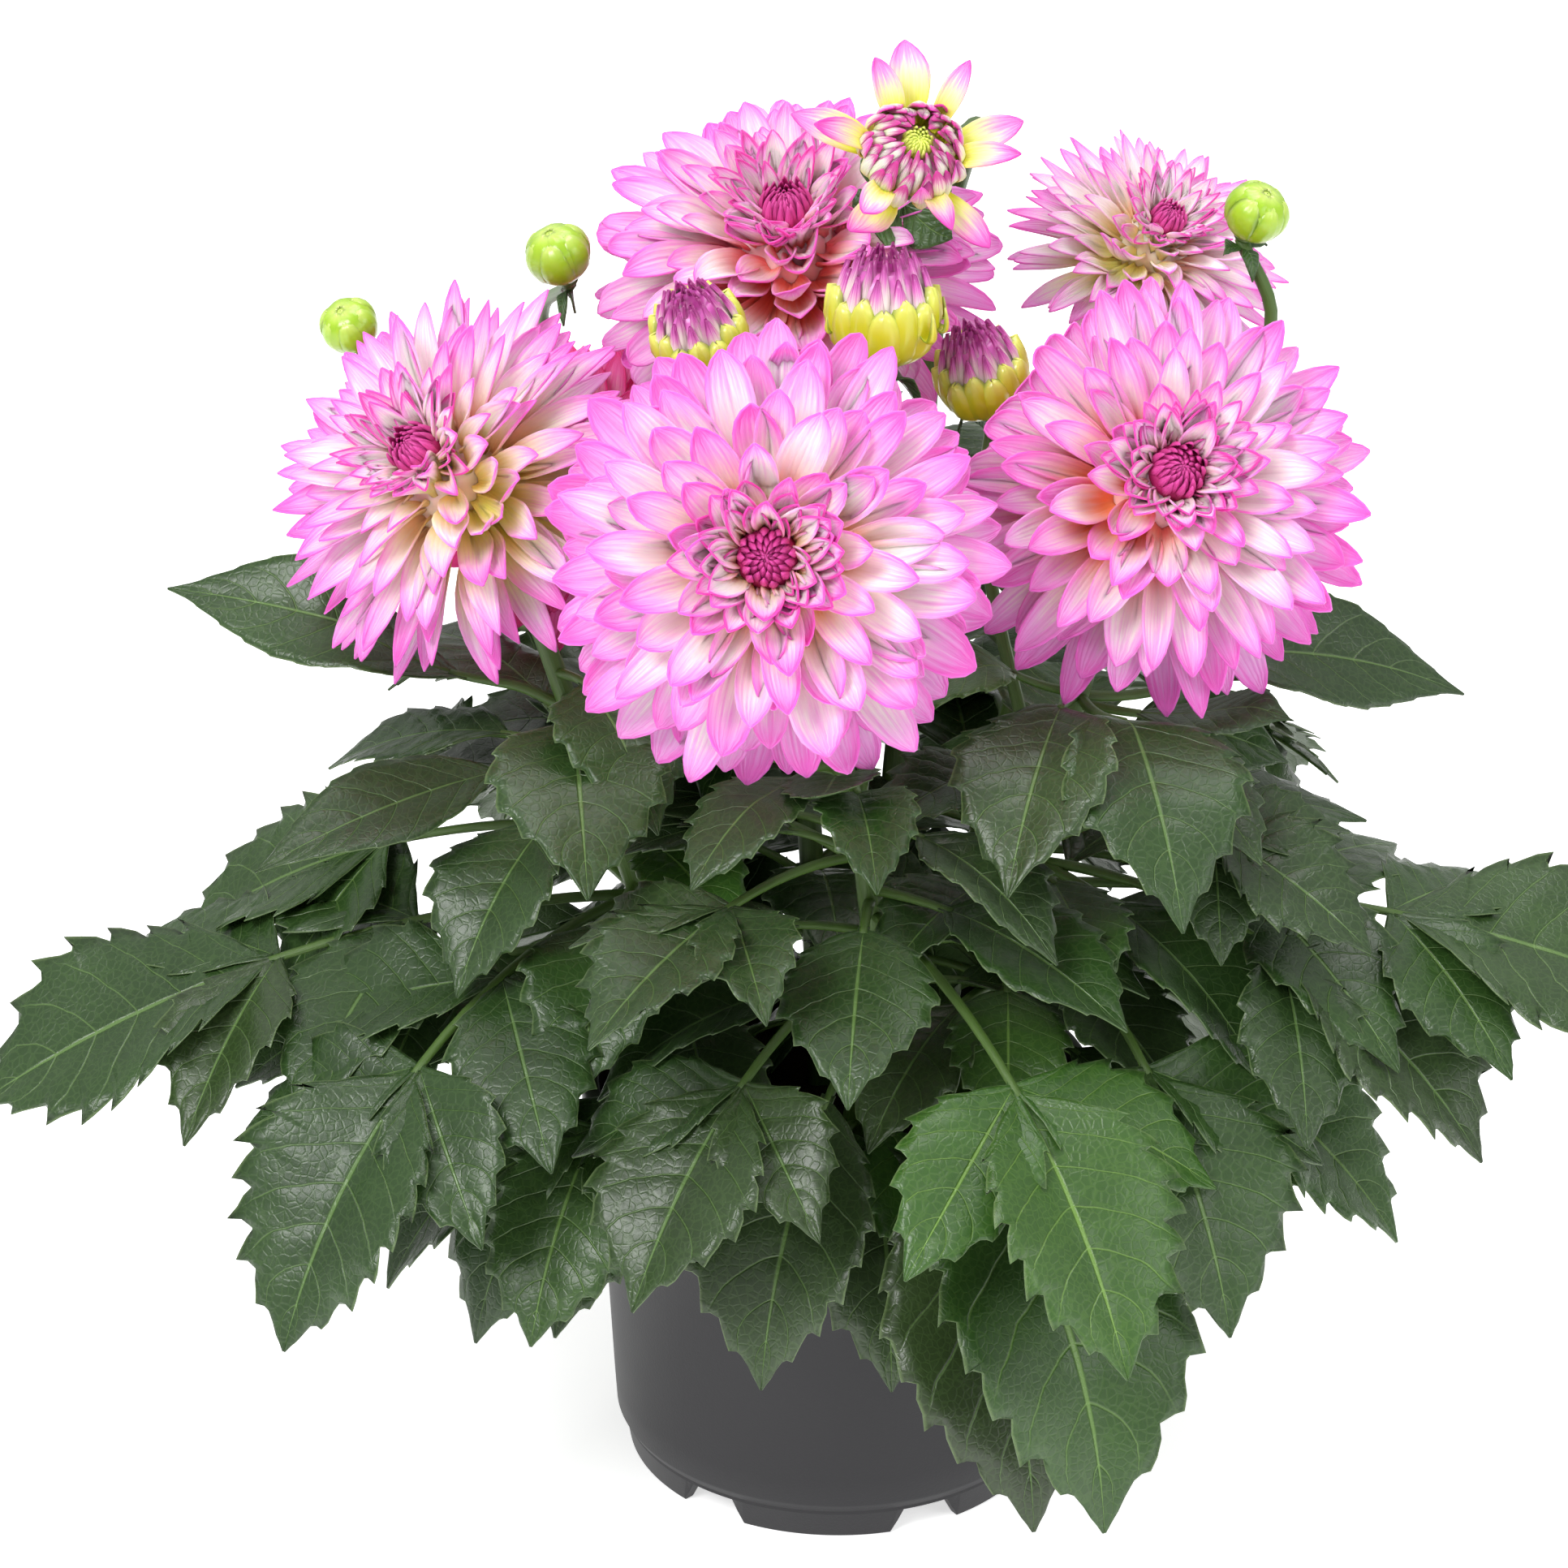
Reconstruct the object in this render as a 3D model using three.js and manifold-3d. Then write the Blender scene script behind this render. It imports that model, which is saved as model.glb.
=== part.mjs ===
// A potted dahlia: a nursery pot filled with soil, seven leafy stems, six open blooms,
// one opening bloom and six buds. Millimetres, +Z up, the pot's axis is X = Y = 0 and
// the ground is Z = 0. The front of the plant looks along -Y.
import * as THREE from "three";
import { mergeVertices } from "three/addons/utils/BufferGeometryUtils.js";
import Module from "manifold-3d";

const wasm = await Module();
wasm.setup();

// Pot
const POT_SIDES = 28;
const FOOT_RADIUS = 63.5;
const FOOT_RING = 3.5;
const FOOT_HEIGHT = 9.5;
const FOOT_FLARE = 1.6;
const WALL_FOOT_RADIUS = 67.2;
const WALL_FOOT_Z = 12.5;
const WALL_TOP_RADIUS = 72.6;
const WALL = 2.2;
const INSIDE_FLARE = 0.6;
const LIP_RADIUS = 76;
const LIP_HEIGHT = 9;
const LIP_BEVEL = 1;
const POT_HEIGHT = 121;
const FLOOR_UNDER_Z = 5.5;
const FLOOR_TOP_Z = 8.5;
const NOTCHES = 6;
const NOTCH_FIRST_DEG = -126;
const NOTCH_WIDTH = 22;
const NOTCH_TOP_WIDTH = 14;
const NOTCH_HEIGHT = 7.5;
const NOTCH_DEPTH = 12;
const NOTCH_INSIDE = 7;
const DRAIN_HOLES = 4;
const DRAIN_FIRST_DEG = 45;
const DRAIN_RADIUS = 5;
const DRAIN_SIDES = 6;
const DRAIN_DEPTH = 8;
const DRAIN_PLACE = 42;

// Soil: level to its shoulder and slightly crowned within
const GAP = 0.35;
const SOIL_EDGE_Z = 103;
const SOIL_SHOULDER_RADIUS = 42;
const SOIL_SHOULDER_Z = 107;
const SOIL_CROWN_Z = 109;
const STEM_HOLE_DEPTH = 24;
const STEM_HOLE_SPARE = 1.2;

// Stems: points from the soil up towards the back of the bloom, where each ends
const STEM_SIDES = 6;
const STEM_ROOT_RADIUS = 4.2;
const STEM_TOP_RADIUS = 2.6;
const STEM_STEP = 28;
const STEMS = {
  front: [[2, -26, 92], [9, -46, 180], [4, -52, 225]],
  left: [[-30, -6, 92], [-52, -16, 170], [-74, -12, 235]],
  right: [[28, -10, 92], [48, -24, 170], [62, -22, 235]],
  top: [[-4, 18, 92], [-8, 28, 180], [-14, 52, 270]],
  back_right: [[26, 20, 92], [42, 34, 180], [66, 62, 270]],
  opening: [
    [10, 38, 92], [18, 56, 200], [28, 98, 310], [31, 104, 345], [37, 84, 377], [38, 50, 394],
    [31, 27, 395],
  ],
  back_left: [[-26, 22, 92], [-40, 34, 180], [-58, 60, 235]],
};

// Leaves of each stem: [heading deg, height on the stem, rise deg, length, droop deg,
// roll deg, kind: its pairs of side leaflets, or 3 for a narrow leaf without them]
const LEAVES = {
  front: [
    [-131, 215, 16, 116, 50, 0, 1],
    [-102, 235, 34, 56, 16, 0, 0],
    [-60, 195, -2, 162, 60, 0, 1],
    [-125, 180, 2, 135, 60, 0, 1],
    [-112, 160, -8, 119, 70, 0, 0],
    [-64, 153, -8, 158, 76, 0, 0],
    [-58, 158, 0, 174, 84, 0, 0],
    [-40, 205, 10, 92, 40, 10, 0],
    [-84, 143, -10, 101, 70, 0, 0],
    [-127, 244, 22, 72, 66, 0, 0],
    [-84, 236, 28, 66, 62, 0, 0],
    [-95, 200, 16, 90, 62, 0, 0],
    [180, 215, 30, 70, 60, 0, 0],
    [-100, 122, 30, 66, 60, 0, 0],
    [-20, 180, 30, 84, 60, 10, 0],
    [-160, 190, 24, 84, 60, -10, 0],
    [-70, 130, 10, 84, 66, 0, 0],
    [-155, 170, 18, 90, 60, 0, 0],
    [-45, 225, 16, 80, 60, 0, 0],
  ],
  left: [
    [165, 241, 22, 124, 21, -36, 3],
    [-148, 227, 7, 106, 26, -20, 3],
    [-84, 245, 18, 100, 60, 0, 0],
    [-131, 188, 6, 180, 74, -6, 2],
    [-170, 185, 3, 202, 36, -12, 2],
    [168, 206, 0, 144, 40, -20, 1],
    [-172, 172, 4, 132, 44, -20, 1],
    [-118, 170, 18, 94, 50, 0, 0],
    [-113, 148, 9, 126, 75, 0, 1],
    [-100, 190, 10, 88, 60, 0, 0],
    [-134, 134, 8, 118, 84, 0, 0],
    [100, 205, 44, 92, 60, 0, 0],
    [-60, 205, 24, 70, 60, 0, 0],
    [-150, 152, 30, 84, 60, -10, 0],
    [130, 225, 40, 92, 60, 0, 0],
    [-66, 256, 14, 84, 60, 0, 0],
    [-122, 222, 0, 84, 60, 0, 0],
    [-118, 129, 4, 104, 68, 0, 0],
    [-150, 140, 0, 120, 60, 0, 0],
    [-80, 160, 14, 90, 60, 0, 0],
  ],
  right: [
    [-107, 256, 10, 98, 60, 0, 0],
    [-78, 262, 5, 107, 60, 0, 0],
    [-16, 246, 22, 62, 40, 34, 0],
    [12, 236, 14, 70, 50, 34, 0],
    [-35, 225, 6, 108, 42, 16, 1],
    [-6, 192, 5, 198, 28, 10, 2],
    [-25, 200, 4, 158, 60, 8, 1],
    [17, 254, 11, 122, 40, 34, 3],
    [-62, 185, -1, 149, 70, 0, 1],
    [-78, 200, 13, 73, 40, 0, 0],
    [-15, 162, -2, 142, 56, 10, 1],
    [-42, 150, 6, 104, 66, 0, 0],
    [-92, 170, 14, 78, 62, 0, 0],
    [-140, 225, 30, 70, 60, 0, 0],
    [80, 215, 40, 84, 60, 0, 0],
    [-128, 195, 28, 72, 66, 0, 0],
    [40, 180, 44, 84, 66, 0, 0],
    [-150, 258, 26, 72, 60, 0, 0],
    [-52, 240, 20, 84, 60, 0, 0],
    [-40, 200, -4, 96, 50, 0, 0],
    [-52, 175, 4, 84, 50, 0, 0],
    [-120, 160, 16, 84, 60, 0, 0],
  ],
  top: [
    [88, 238, 22, 112, 54, 0, 1],
    [116, 195, 12, 132, 70, 0, 1],
    [-150, 215, 40, 84, 70, 0, 0],
    [24, 200, 62, 82, 60, 0, 0],
    [-164, 170, 44, 100, 60, 0, 0],
    [-84, 170, 44, 80, 80, 0, 0],
    [-95, 250, 30, 64, 60, 0, 0],
    [128, 132, 46, 90, 70, 0, 0],
    [-120, 140, 50, 80, 80, 0, 0],
    [84, 263, 36, 84, 66, 0, 0],
    [-110, 225, 30, 84, 60, 0, 0],
    [76, 230, 28, 84, 66, 0, 0],
  ],
  back_right: [
    [14, 208, 8, 122, 64, 14, 1],
    [42, 215, 10, 150, 66, 0, 1],
    [6, 178, 6, 140, 70, 10, 1],
    [30, 148, 2, 128, 80, 0, 0],
    [58, 250, 34, 104, 60, 0, 0],
    [-24, 205, 16, 96, 50, 0, 0],
    [172, 241, 56, 84, 60, 0, 0],
    [96, 180, 46, 90, 66, 0, 0],
    [-52, 150, 44, 80, 70, 0, 0],
    [10, 268, 34, 80, 54, 20, 0],
    [112, 270, 34, 84, 60, 0, 0],
  ],
  opening: [
    [66, 262, 24, 102, 54, 0, 1],
    [98, 222, 14, 118, 70, 0, 1],
    [64, 178, 8, 122, 76, 0, 1],
    [90, 146, 2, 112, 86, 0, 0],
    [120, 270, 36, 96, 60, 0, 0],
    [163, 175, 60, 90, 70, 0, 0],
    [26, 205, 44, 84, 66, 0, 0],
    [90, 292, 30, 80, 60, 0, 0],
    [140, 242, 36, 84, 66, 0, 0],
  ],
  back_left: [
    [142, 226, 16, 112, 60, 0, 1],
    [168, 205, 10, 146, 66, -10, 1],
    [124, 190, 14, 136, 74, 0, 1],
    [172, 160, 2, 132, 70, 0, 0],
    [140, 146, 2, 118, 84, 0, 0],
    [100, 225, 36, 100, 60, 0, 0],
    [60, 160, 50, 90, 70, 0, 0],
    [-170, 205, 36, 80, 60, -10, 0],
    [150, 205, 34, 92, 60, 0, 0],
    [74, 235, 34, 80, 60, 0, 0],
    [34, 220, 38, 72, 66, 0, 0],
  ],
};
const STALK_THICKNESS = 3;
const LEAF_THICKNESS = 1.5;
const LEAF_FOLD_DEG = 13;
// Where the leaflets leave the rib, and how long they are, for each kind of leaf
const PAIRS_AT = [[], [0.48], [0.32, 0.52], []];
const END_FROM = [0.3, 0.5, 0.54, 0.28];
const SIDE_LENGTH = [[], [0.4], [0.37, 0.32]];
const SIDE_ANGLE_DEG = 52;
const SIDE_DROOP_DEG = 26;
const SIDE_WIDTH = 0.66;
const END_WIDTH = [0.68, 0.78, 0.78, 0.42];
// Edges of a leaflet with its teeth: [t, share of the half width]; the lower shares are
// the notches between teeth. The ribs are the places of points on its midrib.
const END_TEETH = [[0.2, 0.74], [0.38, 1], [0.48, 0.84], [0.64, 0.82], [0.73, 0.54]];
const ALONE_TEETH = [[0.22, 0.8], [0.42, 1], [0.58, 0.8], [0.76, 0.52]];
const END_RIBS = [0.3, 0.66];
const SIDE_TEETH = [[0.34, 0.95], [0.46, 0.8], [0.66, 0.78]];
const SIDE_RIBS = [0.32, 0.62];
// The narrow wing along a leaf's rib, and how much of it a stalk has at its middle
const AXIL = 0.03;
const WING = 2.4;
const STALK_SHARE = 0.8;

// Blooms: middle, the way that they face and radius
const BLOOMS = {
  front: { at: [-19, -75, 311], face: [-0.05, -0.94, 0.34], radius: 63 },
  left: { at: [-104, -10, 308], face: [-0.48, -0.62, 0.62], radius: 59 },
  right: { at: [86, -20, 309], face: [0.14, -0.83, 0.54], radius: 62 },
  top: { at: [-14, 50, 351], face: [-0.06, -0.5, 0.86], radius: 62 },
  back_right: { at: [88, 66, 350], face: [0.3, -0.5, 0.8], radius: 43 },
  back_left: { at: [-69, 54, 284], face: [-0.2, -0.68, 0.7], radius: 50 },
};
const BLOOM_SEED = 11;
// Rings of petals from the back to the eye: rise above the bloom's own plane in degrees,
// then reach, half width, height of the root and radius of the core as shares of the
// bloom's radius, and the ribs on each petal
const PETAL_RINGS = [
  { rise: -14, reach: 1.0, count: 13, half: 0.135, root: -0.06, core: 0.25, ribs: 1 },
  { rise: 3, reach: 0.98, count: 13, half: 0.135, root: 0.03, core: 0.27, ribs: 1 },
  { rise: 21, reach: 0.92, count: 12, half: 0.13, root: 0.13, core: 0.27, ribs: 1 },
  { rise: 41, reach: 0.83, count: 9, half: 0.125, root: 0.25, core: 0.23, ribs: 1 },
  { rise: 63, reach: 0.72, count: 7, half: 0.1, root: 0.36, core: 0.17, ribs: 1 },
];
// The opening bloom
const OPENING = { at: [18, 6, 395], face: [0.12, -0.8, 0.58], radius: 34 };
const OPENING_SEED = 31;
const OPENING_RINGS = [
  { rise: 8, reach: 1.0, count: 5, half: 0.2, root: -0.04, core: 0.24, ribs: 2 },
  { rise: 30, reach: 0.92, count: 6, half: 0.18, root: 0.06, core: 0.26, ribs: 1 },
  { rise: 52, reach: 0.8, count: 7, half: 0.14, root: 0.19, core: 0.22, ribs: 1 },
  { rise: 70, reach: 0.74, count: 7, half: 0.11, root: 0.33, core: 0.2, ribs: 1 },
];
const RING_TURN = 0.3;
const PETAL_THICKNESS = 1.6;
const PETAL_CUP = 0.3;
const PETAL_ARCH_DEG = 12;
const PETAL_ARCH_AT = 0.62;
// How far a petal may sway from its place in its ring, and its reach: least and random part
const PETAL_SWAY = 0.14;
const PETAL_REACH = [0.94, 0.1];
// Places of a petal's side points as [t, share of the half width], for 1 or 2 ribs
const PETAL_EDGES = { 1: [[0.6, 1]], 2: [[0.42, 0.86], [0.78, 0.92]] };
const CORE_SIDES = 8;
const CORE_BACK = 0.13;
const CORE_BACK_RADIUS = 0.22;
// Tight florets in the eye, raised from a dome as a ring of points
const EYE_SEAT = 0.4;
const EYE_SPARE = 0.3;
const EYE_SHARE = 0.12;
const EYE_SIDES = 10;
const EYE_PROFILE = [[0, 0], [0.95, 0], [1.1, 0.7, 0.2], [0.6, 1.3, 0.3], [0, 1.15]];

// Buds: middle, the way that they point, radius, kind, stem, height on the stem where
// the stalk leaves it and the stalk's bend
const BUDS = {
  bud_1: { at: [-140, 42, 338], face: [-0.3, -0.5, 0.8], radius: 7.5, open: false,
    stem: "left", from: 262, bend: [-134, 44, 312] },
  bud_2: { at: [-80, 42, 359], face: [-0.3, -0.3, 0.9], radius: 8.5, open: false,
    stem: "back_left", from: 228, bend: [-88, 100, 318] },
  bud_3: { at: [-39, -14, 353], face: [-0.2, -0.5, 0.84], radius: 11.5, open: true,
    stem: "front", from: 240, bend: [-26, -22, 300] },
  bud_4: { at: [11, -16, 359], face: [0, -0.15, 0.99], radius: 13.5, open: true,
    stem: "front", from: 225, bend: [14, -26, 300] },
  bud_5: { at: [39, 6, 335], face: [-0.25, -0.35, 0.9], radius: 11.5, open: true,
    stem: "right", from: 215, bend: [40, 2, 292] },
  bud_6: { at: [116, 32, 374], face: [0.35, -0.4, 0.85], radius: 8.2, open: false,
    stem: "back_right", from: 250, bend: [122, 36, 339] },
};
const STALK_RADIUS = 1.9;
const STALK_SIDES = 5;
const STALK_STEPS = 5;
const BUD_SEAT = 0.98;
// A ribbed round body, and on an opening bud a crown of narrow petal tips. A row of a
// profile is [radius, height, notch, drop].
const BUD_SIDES = 12;
const BUD_PROFILE = [
  [0, -0.9], [0.5, -0.78, 0.05], [0.95, -0.3, 0.07], [1, 0.2, 0.07], [0.62, 0.75, 0.07], [0, 0.95],
];
const OPEN_BUD_SIDES = 16;
const OPEN_BUD_PROFILE = [
  [0, -0.95], [0.55, -0.84, 0.04], [0.98, -0.3, 0.07], [0.99, 0.2, 0.09], [0.78, 0.75, 0.1],
  [0.56, 1.2, 0.2, 0.3], [0.3, 0.95, 0.1], [0, 0.85],
];

// The green cup behind a bloom or bud: its profile and how deep its stem sits in it. On a
// bud's cup stand bracts, which lean back as they leave it.
const CUP_PROFILE = [[0, -0.26], [0.12, -0.2], [0.24, -0.06], [0.2, 0], [0, 0]];
const CUP_SIDES = 6;
const CUP_SEAT = 0.1;
const BUD_CUP = 1.4;
const BUD_CUP_SEAT = 0.2;
const BUD_BRACTS = 3;
const BRACT_OUT = 0.8;
const BRACT_BACK = 0.6;
const BRACT_LENGTH = 1.2;
const BRACT_HALF = 0.28;
const BRACT_BEND = 0.6;
const BRACT_WIDEST = 0.55;
const BRACT_THICKNESS = 1.2;

// Room kept round the blooms, the buds and the bends of the buds' stalks
const HEAD_CLEARANCE = 5;
const BUD_ROOM = 1.3;
const BEND_ROOM = 4;

// Colours, roughness and metalness
const POT_PLASTIC = plain(0x35343a, 0.55);
const SOIL_BROWN = plain(0x2e2018, 0.95);
const LEAF_GREEN = plain(0x4d6b42, 0.55);
const PETAL_PINK = plain(0xf2a4e2, 0.6);
const EYE_MAGENTA = plain(0x8a1a5c, 0.6);
const EYE_GREEN = plain(0xd6ec6a, 0.6);
const BUD_GREEN = plain(0xc0dc3c, 0.4);
const BUD_STRIPED = plain(0xcfa66c, 0.45);

function plain(color, roughness) {
  return new THREE.MeshStandardMaterial({ color, roughness, metalness: 0 });
}

// Repeatable random numbers from 0 to 1
function randomFrom(seed) {
  let state = seed;
  return () => {
    state = (state * 1664525 + 1013904223) % 4294967296;
    return state / 4294967296;
  };
}

const vector = (p) => new THREE.Vector3(p[0], p[1], p[2]);
const radians = THREE.MathUtils.degToRad;

// A closed geometry as a solid
function solidOf(geometry) {
  const bare = geometry.clone();
  bare.deleteAttribute("normal");
  bare.deleteAttribute("uv");
  const merged = mergeVertices(bare, 1e-4);
  return new wasm.Manifold(
    new wasm.Mesh({
      numProp: 3,
      vertProperties: new Float32Array(merged.attributes.position.array),
      triVerts: new Uint32Array(merged.index.array),
    }),
  );
}

function meshOf(name, solid, material) {
  const { vertProperties, triVerts } = solid.getMesh();
  const geometry = new THREE.BufferGeometry();
  geometry.setAttribute("position", new THREE.BufferAttribute(vertProperties, 3));
  geometry.setIndex(new THREE.BufferAttribute(triVerts, 1));
  geometry.computeVertexNormals();
  const mesh = new THREE.Mesh(geometry, material);
  mesh.name = name;
  return mesh;
}

// A profile of [radius, height] turned round +Z
function turned(profile, sides) {
  const points = profile.map(([r, z]) => new THREE.Vector2(r, z));
  return new THREE.LatheGeometry(points, sides).rotateX(Math.PI / 2);
}

// A round tube along a curve, tapered from one radius to the other
function tube(curve, steps, sides, startRadius, endRadius) {
  const circle = new THREE.Shape();
  for (let i = 0; i < sides; i++) {
    const a = (2 * Math.PI * i) / sides;
    const x = Math.cos(a) * startRadius;
    const y = Math.sin(a) * startRadius;
    if (i) circle.lineTo(x, y);
    else circle.moveTo(x, y);
  }
  const options = { steps, extrudePath: curve, curveSegments: 1 };
  const geometry = new THREE.ExtrudeGeometry(circle, options);
  const middles = curve.getSpacedPoints(steps);
  const position = geometry.attributes.position;
  const p = new THREE.Vector3();
  for (let i = 0; i < position.count; i++) {
    p.fromBufferAttribute(position, i);
    let near = 0;
    middles.forEach((m, k) => {
      if (m.distanceToSquared(p) < middles[near].distanceToSquared(p)) near = k;
    });
    const scale = THREE.MathUtils.lerp(1, endRadius / startRadius, near / steps);
    p.sub(middles[near]).multiplyScalar(scale).add(middles[near]);
    position.setXYZ(i, p.x, p.y, p.z);
  }
  return geometry;
}

// A thin solid made of strips between ribs and edges. A rib point lies on both faces, half
// a thickness above and below; an edge point is shared by them.
function thinSolid() {
  const points = [];
  const faces = [];
  const edge = (p) => {
    const index = points.push(p) - 1;
    return [index, index];
  };
  const rib = (top, under) => [points.push(top) - 1, points.push(under) - 1];
  const face = (corners, isLeft) => {
    for (const side of [0, 1]) {
      const [a, b, c] = corners.map((corner) => corner[side]);
      if (a === b || b === c || c === a) continue;
      faces.push(...(isLeft === (side === 0) ? [a, b, c] : [a, c, b]));
    }
  };
  const strip = (ribs, edges, isLeft) => {
    let i = 0;
    let j = 0;
    while (i < ribs.length - 1 || j < edges.length - 1) {
      const ribFirst = (i + 1) / (ribs.length - 1) < (j + 1) / (edges.length - 1);
      if (j === edges.length - 1 || (i < ribs.length - 1 && ribFirst)) {
        face([ribs[i], ribs[i + 1], edges[j]], isLeft);
        i++;
      } else {
        face([ribs[i], edges[j + 1], edges[j]], isLeft);
        j++;
      }
    }
  };
  const facet = (...corners) => faces.push(...corners);
  const solid = () => {
    const geometry = new THREE.BufferGeometry().setFromPoints(points);
    geometry.setIndex(faces);
    return solidOf(geometry);
  };
  return { edge, rib, strip, facet, solid };
}

// A blade that stands alone: place(t, w, lift) gives a point at t along its rib, w of half
// a width to the left and lift above its middle; at is where it is widest
function blade(place, at, thickness) {
  const made = thinSolid();
  const base = made.edge(place(0, 0, 0));
  const tip = made.edge(place(1, 0, 0));
  const middle = made.rib(place(at, 0, thickness / 2), place(at, 0, -thickness / 2));
  for (const hand of [1, -1]) {
    made.strip([base, middle, tip], [base, made.edge(place(at, hand, 0)), tip], hand > 0);
  }
  return made.solid();
}

// A line that starts at start, heads along and bends towards down by bend radians. The
// function returned gives its point and its own axes at t from 0 to 1.
function arcOf(start, along, down, length, bend) {
  const normal = down.clone().negate();
  const side = normal.clone().cross(along);
  return (t) => {
    const a = bend * t;
    const ahead = (length * Math.sin(a)) / bend;
    const fall = (length * (1 - Math.cos(a))) / bend;
    return {
      point: start.clone().addScaledVector(along, ahead).addScaledVector(down, fall),
      along: along.clone().multiplyScalar(Math.cos(a)).addScaledVector(down, Math.sin(a)),
      up: normal.clone().multiplyScalar(Math.cos(a)).addScaledVector(along, Math.sin(a)),
      side,
    };
  };
}

// Blooms, buds and the bends of the buds' stalks keep clear of each other and of the
// leaves. A stiff one isn't pressed back itself.
const headOf = ({ at, face, radius }) => ({
  at: vector(at),
  face: vector(face).normalize(),
  radius,
});
const blooms = [...Object.values(BLOOMS), OPENING].map(headOf);
const heads = [...blooms];
for (const { at, radius, bend } of Object.values(BUDS)) {
  heads.push({ at: vector(at), radius: radius * BUD_ROOM, stiff: true });
  heads.push({ at: vector(bend), radius: BEND_ROOM, stiff: true });
}
const soften = (d, reach) => (d < reach ? reach * Math.exp((d - reach) / reach) : d);

// Presses a petal's point back to its own side of the planes between it and its neighbours
function pressed(p, own) {
  for (const other of heads) {
    const away = own.at.clone().sub(other.at);
    const apart = away.length();
    if (other === own || apart > own.radius + other.radius + HEAD_CLEARANCE) continue;
    away.divideScalar(apart);
    const share = other.stiff ? 1 : apart / (own.radius + other.radius);
    const d = p.clone().sub(other.at).dot(away) - share * other.radius - GAP;
    p.addScaledVector(away, soften(d, HEAD_CLEARANCE) - d);
  }
  return p;
}

// Presses a leaf's point out of the blooms
function outOfBlooms(p) {
  for (const head of heads) {
    const out = p.clone().sub(head.at);
    const d = out.length() - head.radius - GAP;
    out.normalize();
    p.addScaledVector(out, soften(d, HEAD_CLEARANCE) - d);
  }
  return p;
}

// What a leaf is built with: its rolled main rib, and ribs and edges clear of the blooms
function leafTools(arc, roll) {
  const made = thinSolid();
  const main = (t) => {
    const frame = arc(t);
    const turn = (v) => v.clone().applyAxisAngle(frame.along, radians(roll));
    return { ...frame, up: turn(frame.up), side: turn(frame.side) };
  };
  const edgeAt = ({ point, up, side }, w) => {
    const across = w * Math.cos(radians(LEAF_FOLD_DEG));
    const lift = Math.abs(w) * Math.sin(radians(LEAF_FOLD_DEG));
    return made.edge(outOfBlooms(point.clone().addScaledVector(side, across).addScaledVector(up, lift)));
  };
  const ribAt = ({ point, up }, thickness) => {
    const face = (lift) => outOfBlooms(point.clone().addScaledVector(up, lift));
    return made.rib(face(thickness / 2), face(-thickness / 2));
  };
  return { made, main, edgeAt, ribAt };
}

// A side leaflet at t along the leaf. It starts at its joint and at the edge point behind
// it, the axil, and gives back the edge point ahead of it.
function sideLeaflet(tools, { t, reach, hand, joint, axil }) {
  const { made, main, edgeAt, ribAt } = tools;
  const { point, along, up, side } = main(t);
  const angle = radians(SIDE_ANGLE_DEG) * hand;
  const out = along.clone().multiplyScalar(Math.cos(angle)).addScaledVector(side, Math.sin(angle));
  const arc = arcOf(point, out, up.clone().negate(), reach, radians(SIDE_DROOP_DEG));
  const half = (reach * SIDE_WIDTH) / 2;
  const tip = made.edge(outOfBlooms(arc(1).point));
  const rib = [joint, ...SIDE_RIBS.map((k) => ribAt(arc(k), LEAF_THICKNESS)), tip];
  const teeth = (way) => SIDE_TEETH.map(([k, w]) => edgeAt(arc(k), way * w * half));
  const ahead = edgeAt(main(t + AXIL), hand * WING);
  made.strip(rib, [axil, ...teeth(hand), tip], hand > 0);
  made.strip(rib, [ahead, ...teeth(-hand), tip], hand < 0);
  return ahead;
}

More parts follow.
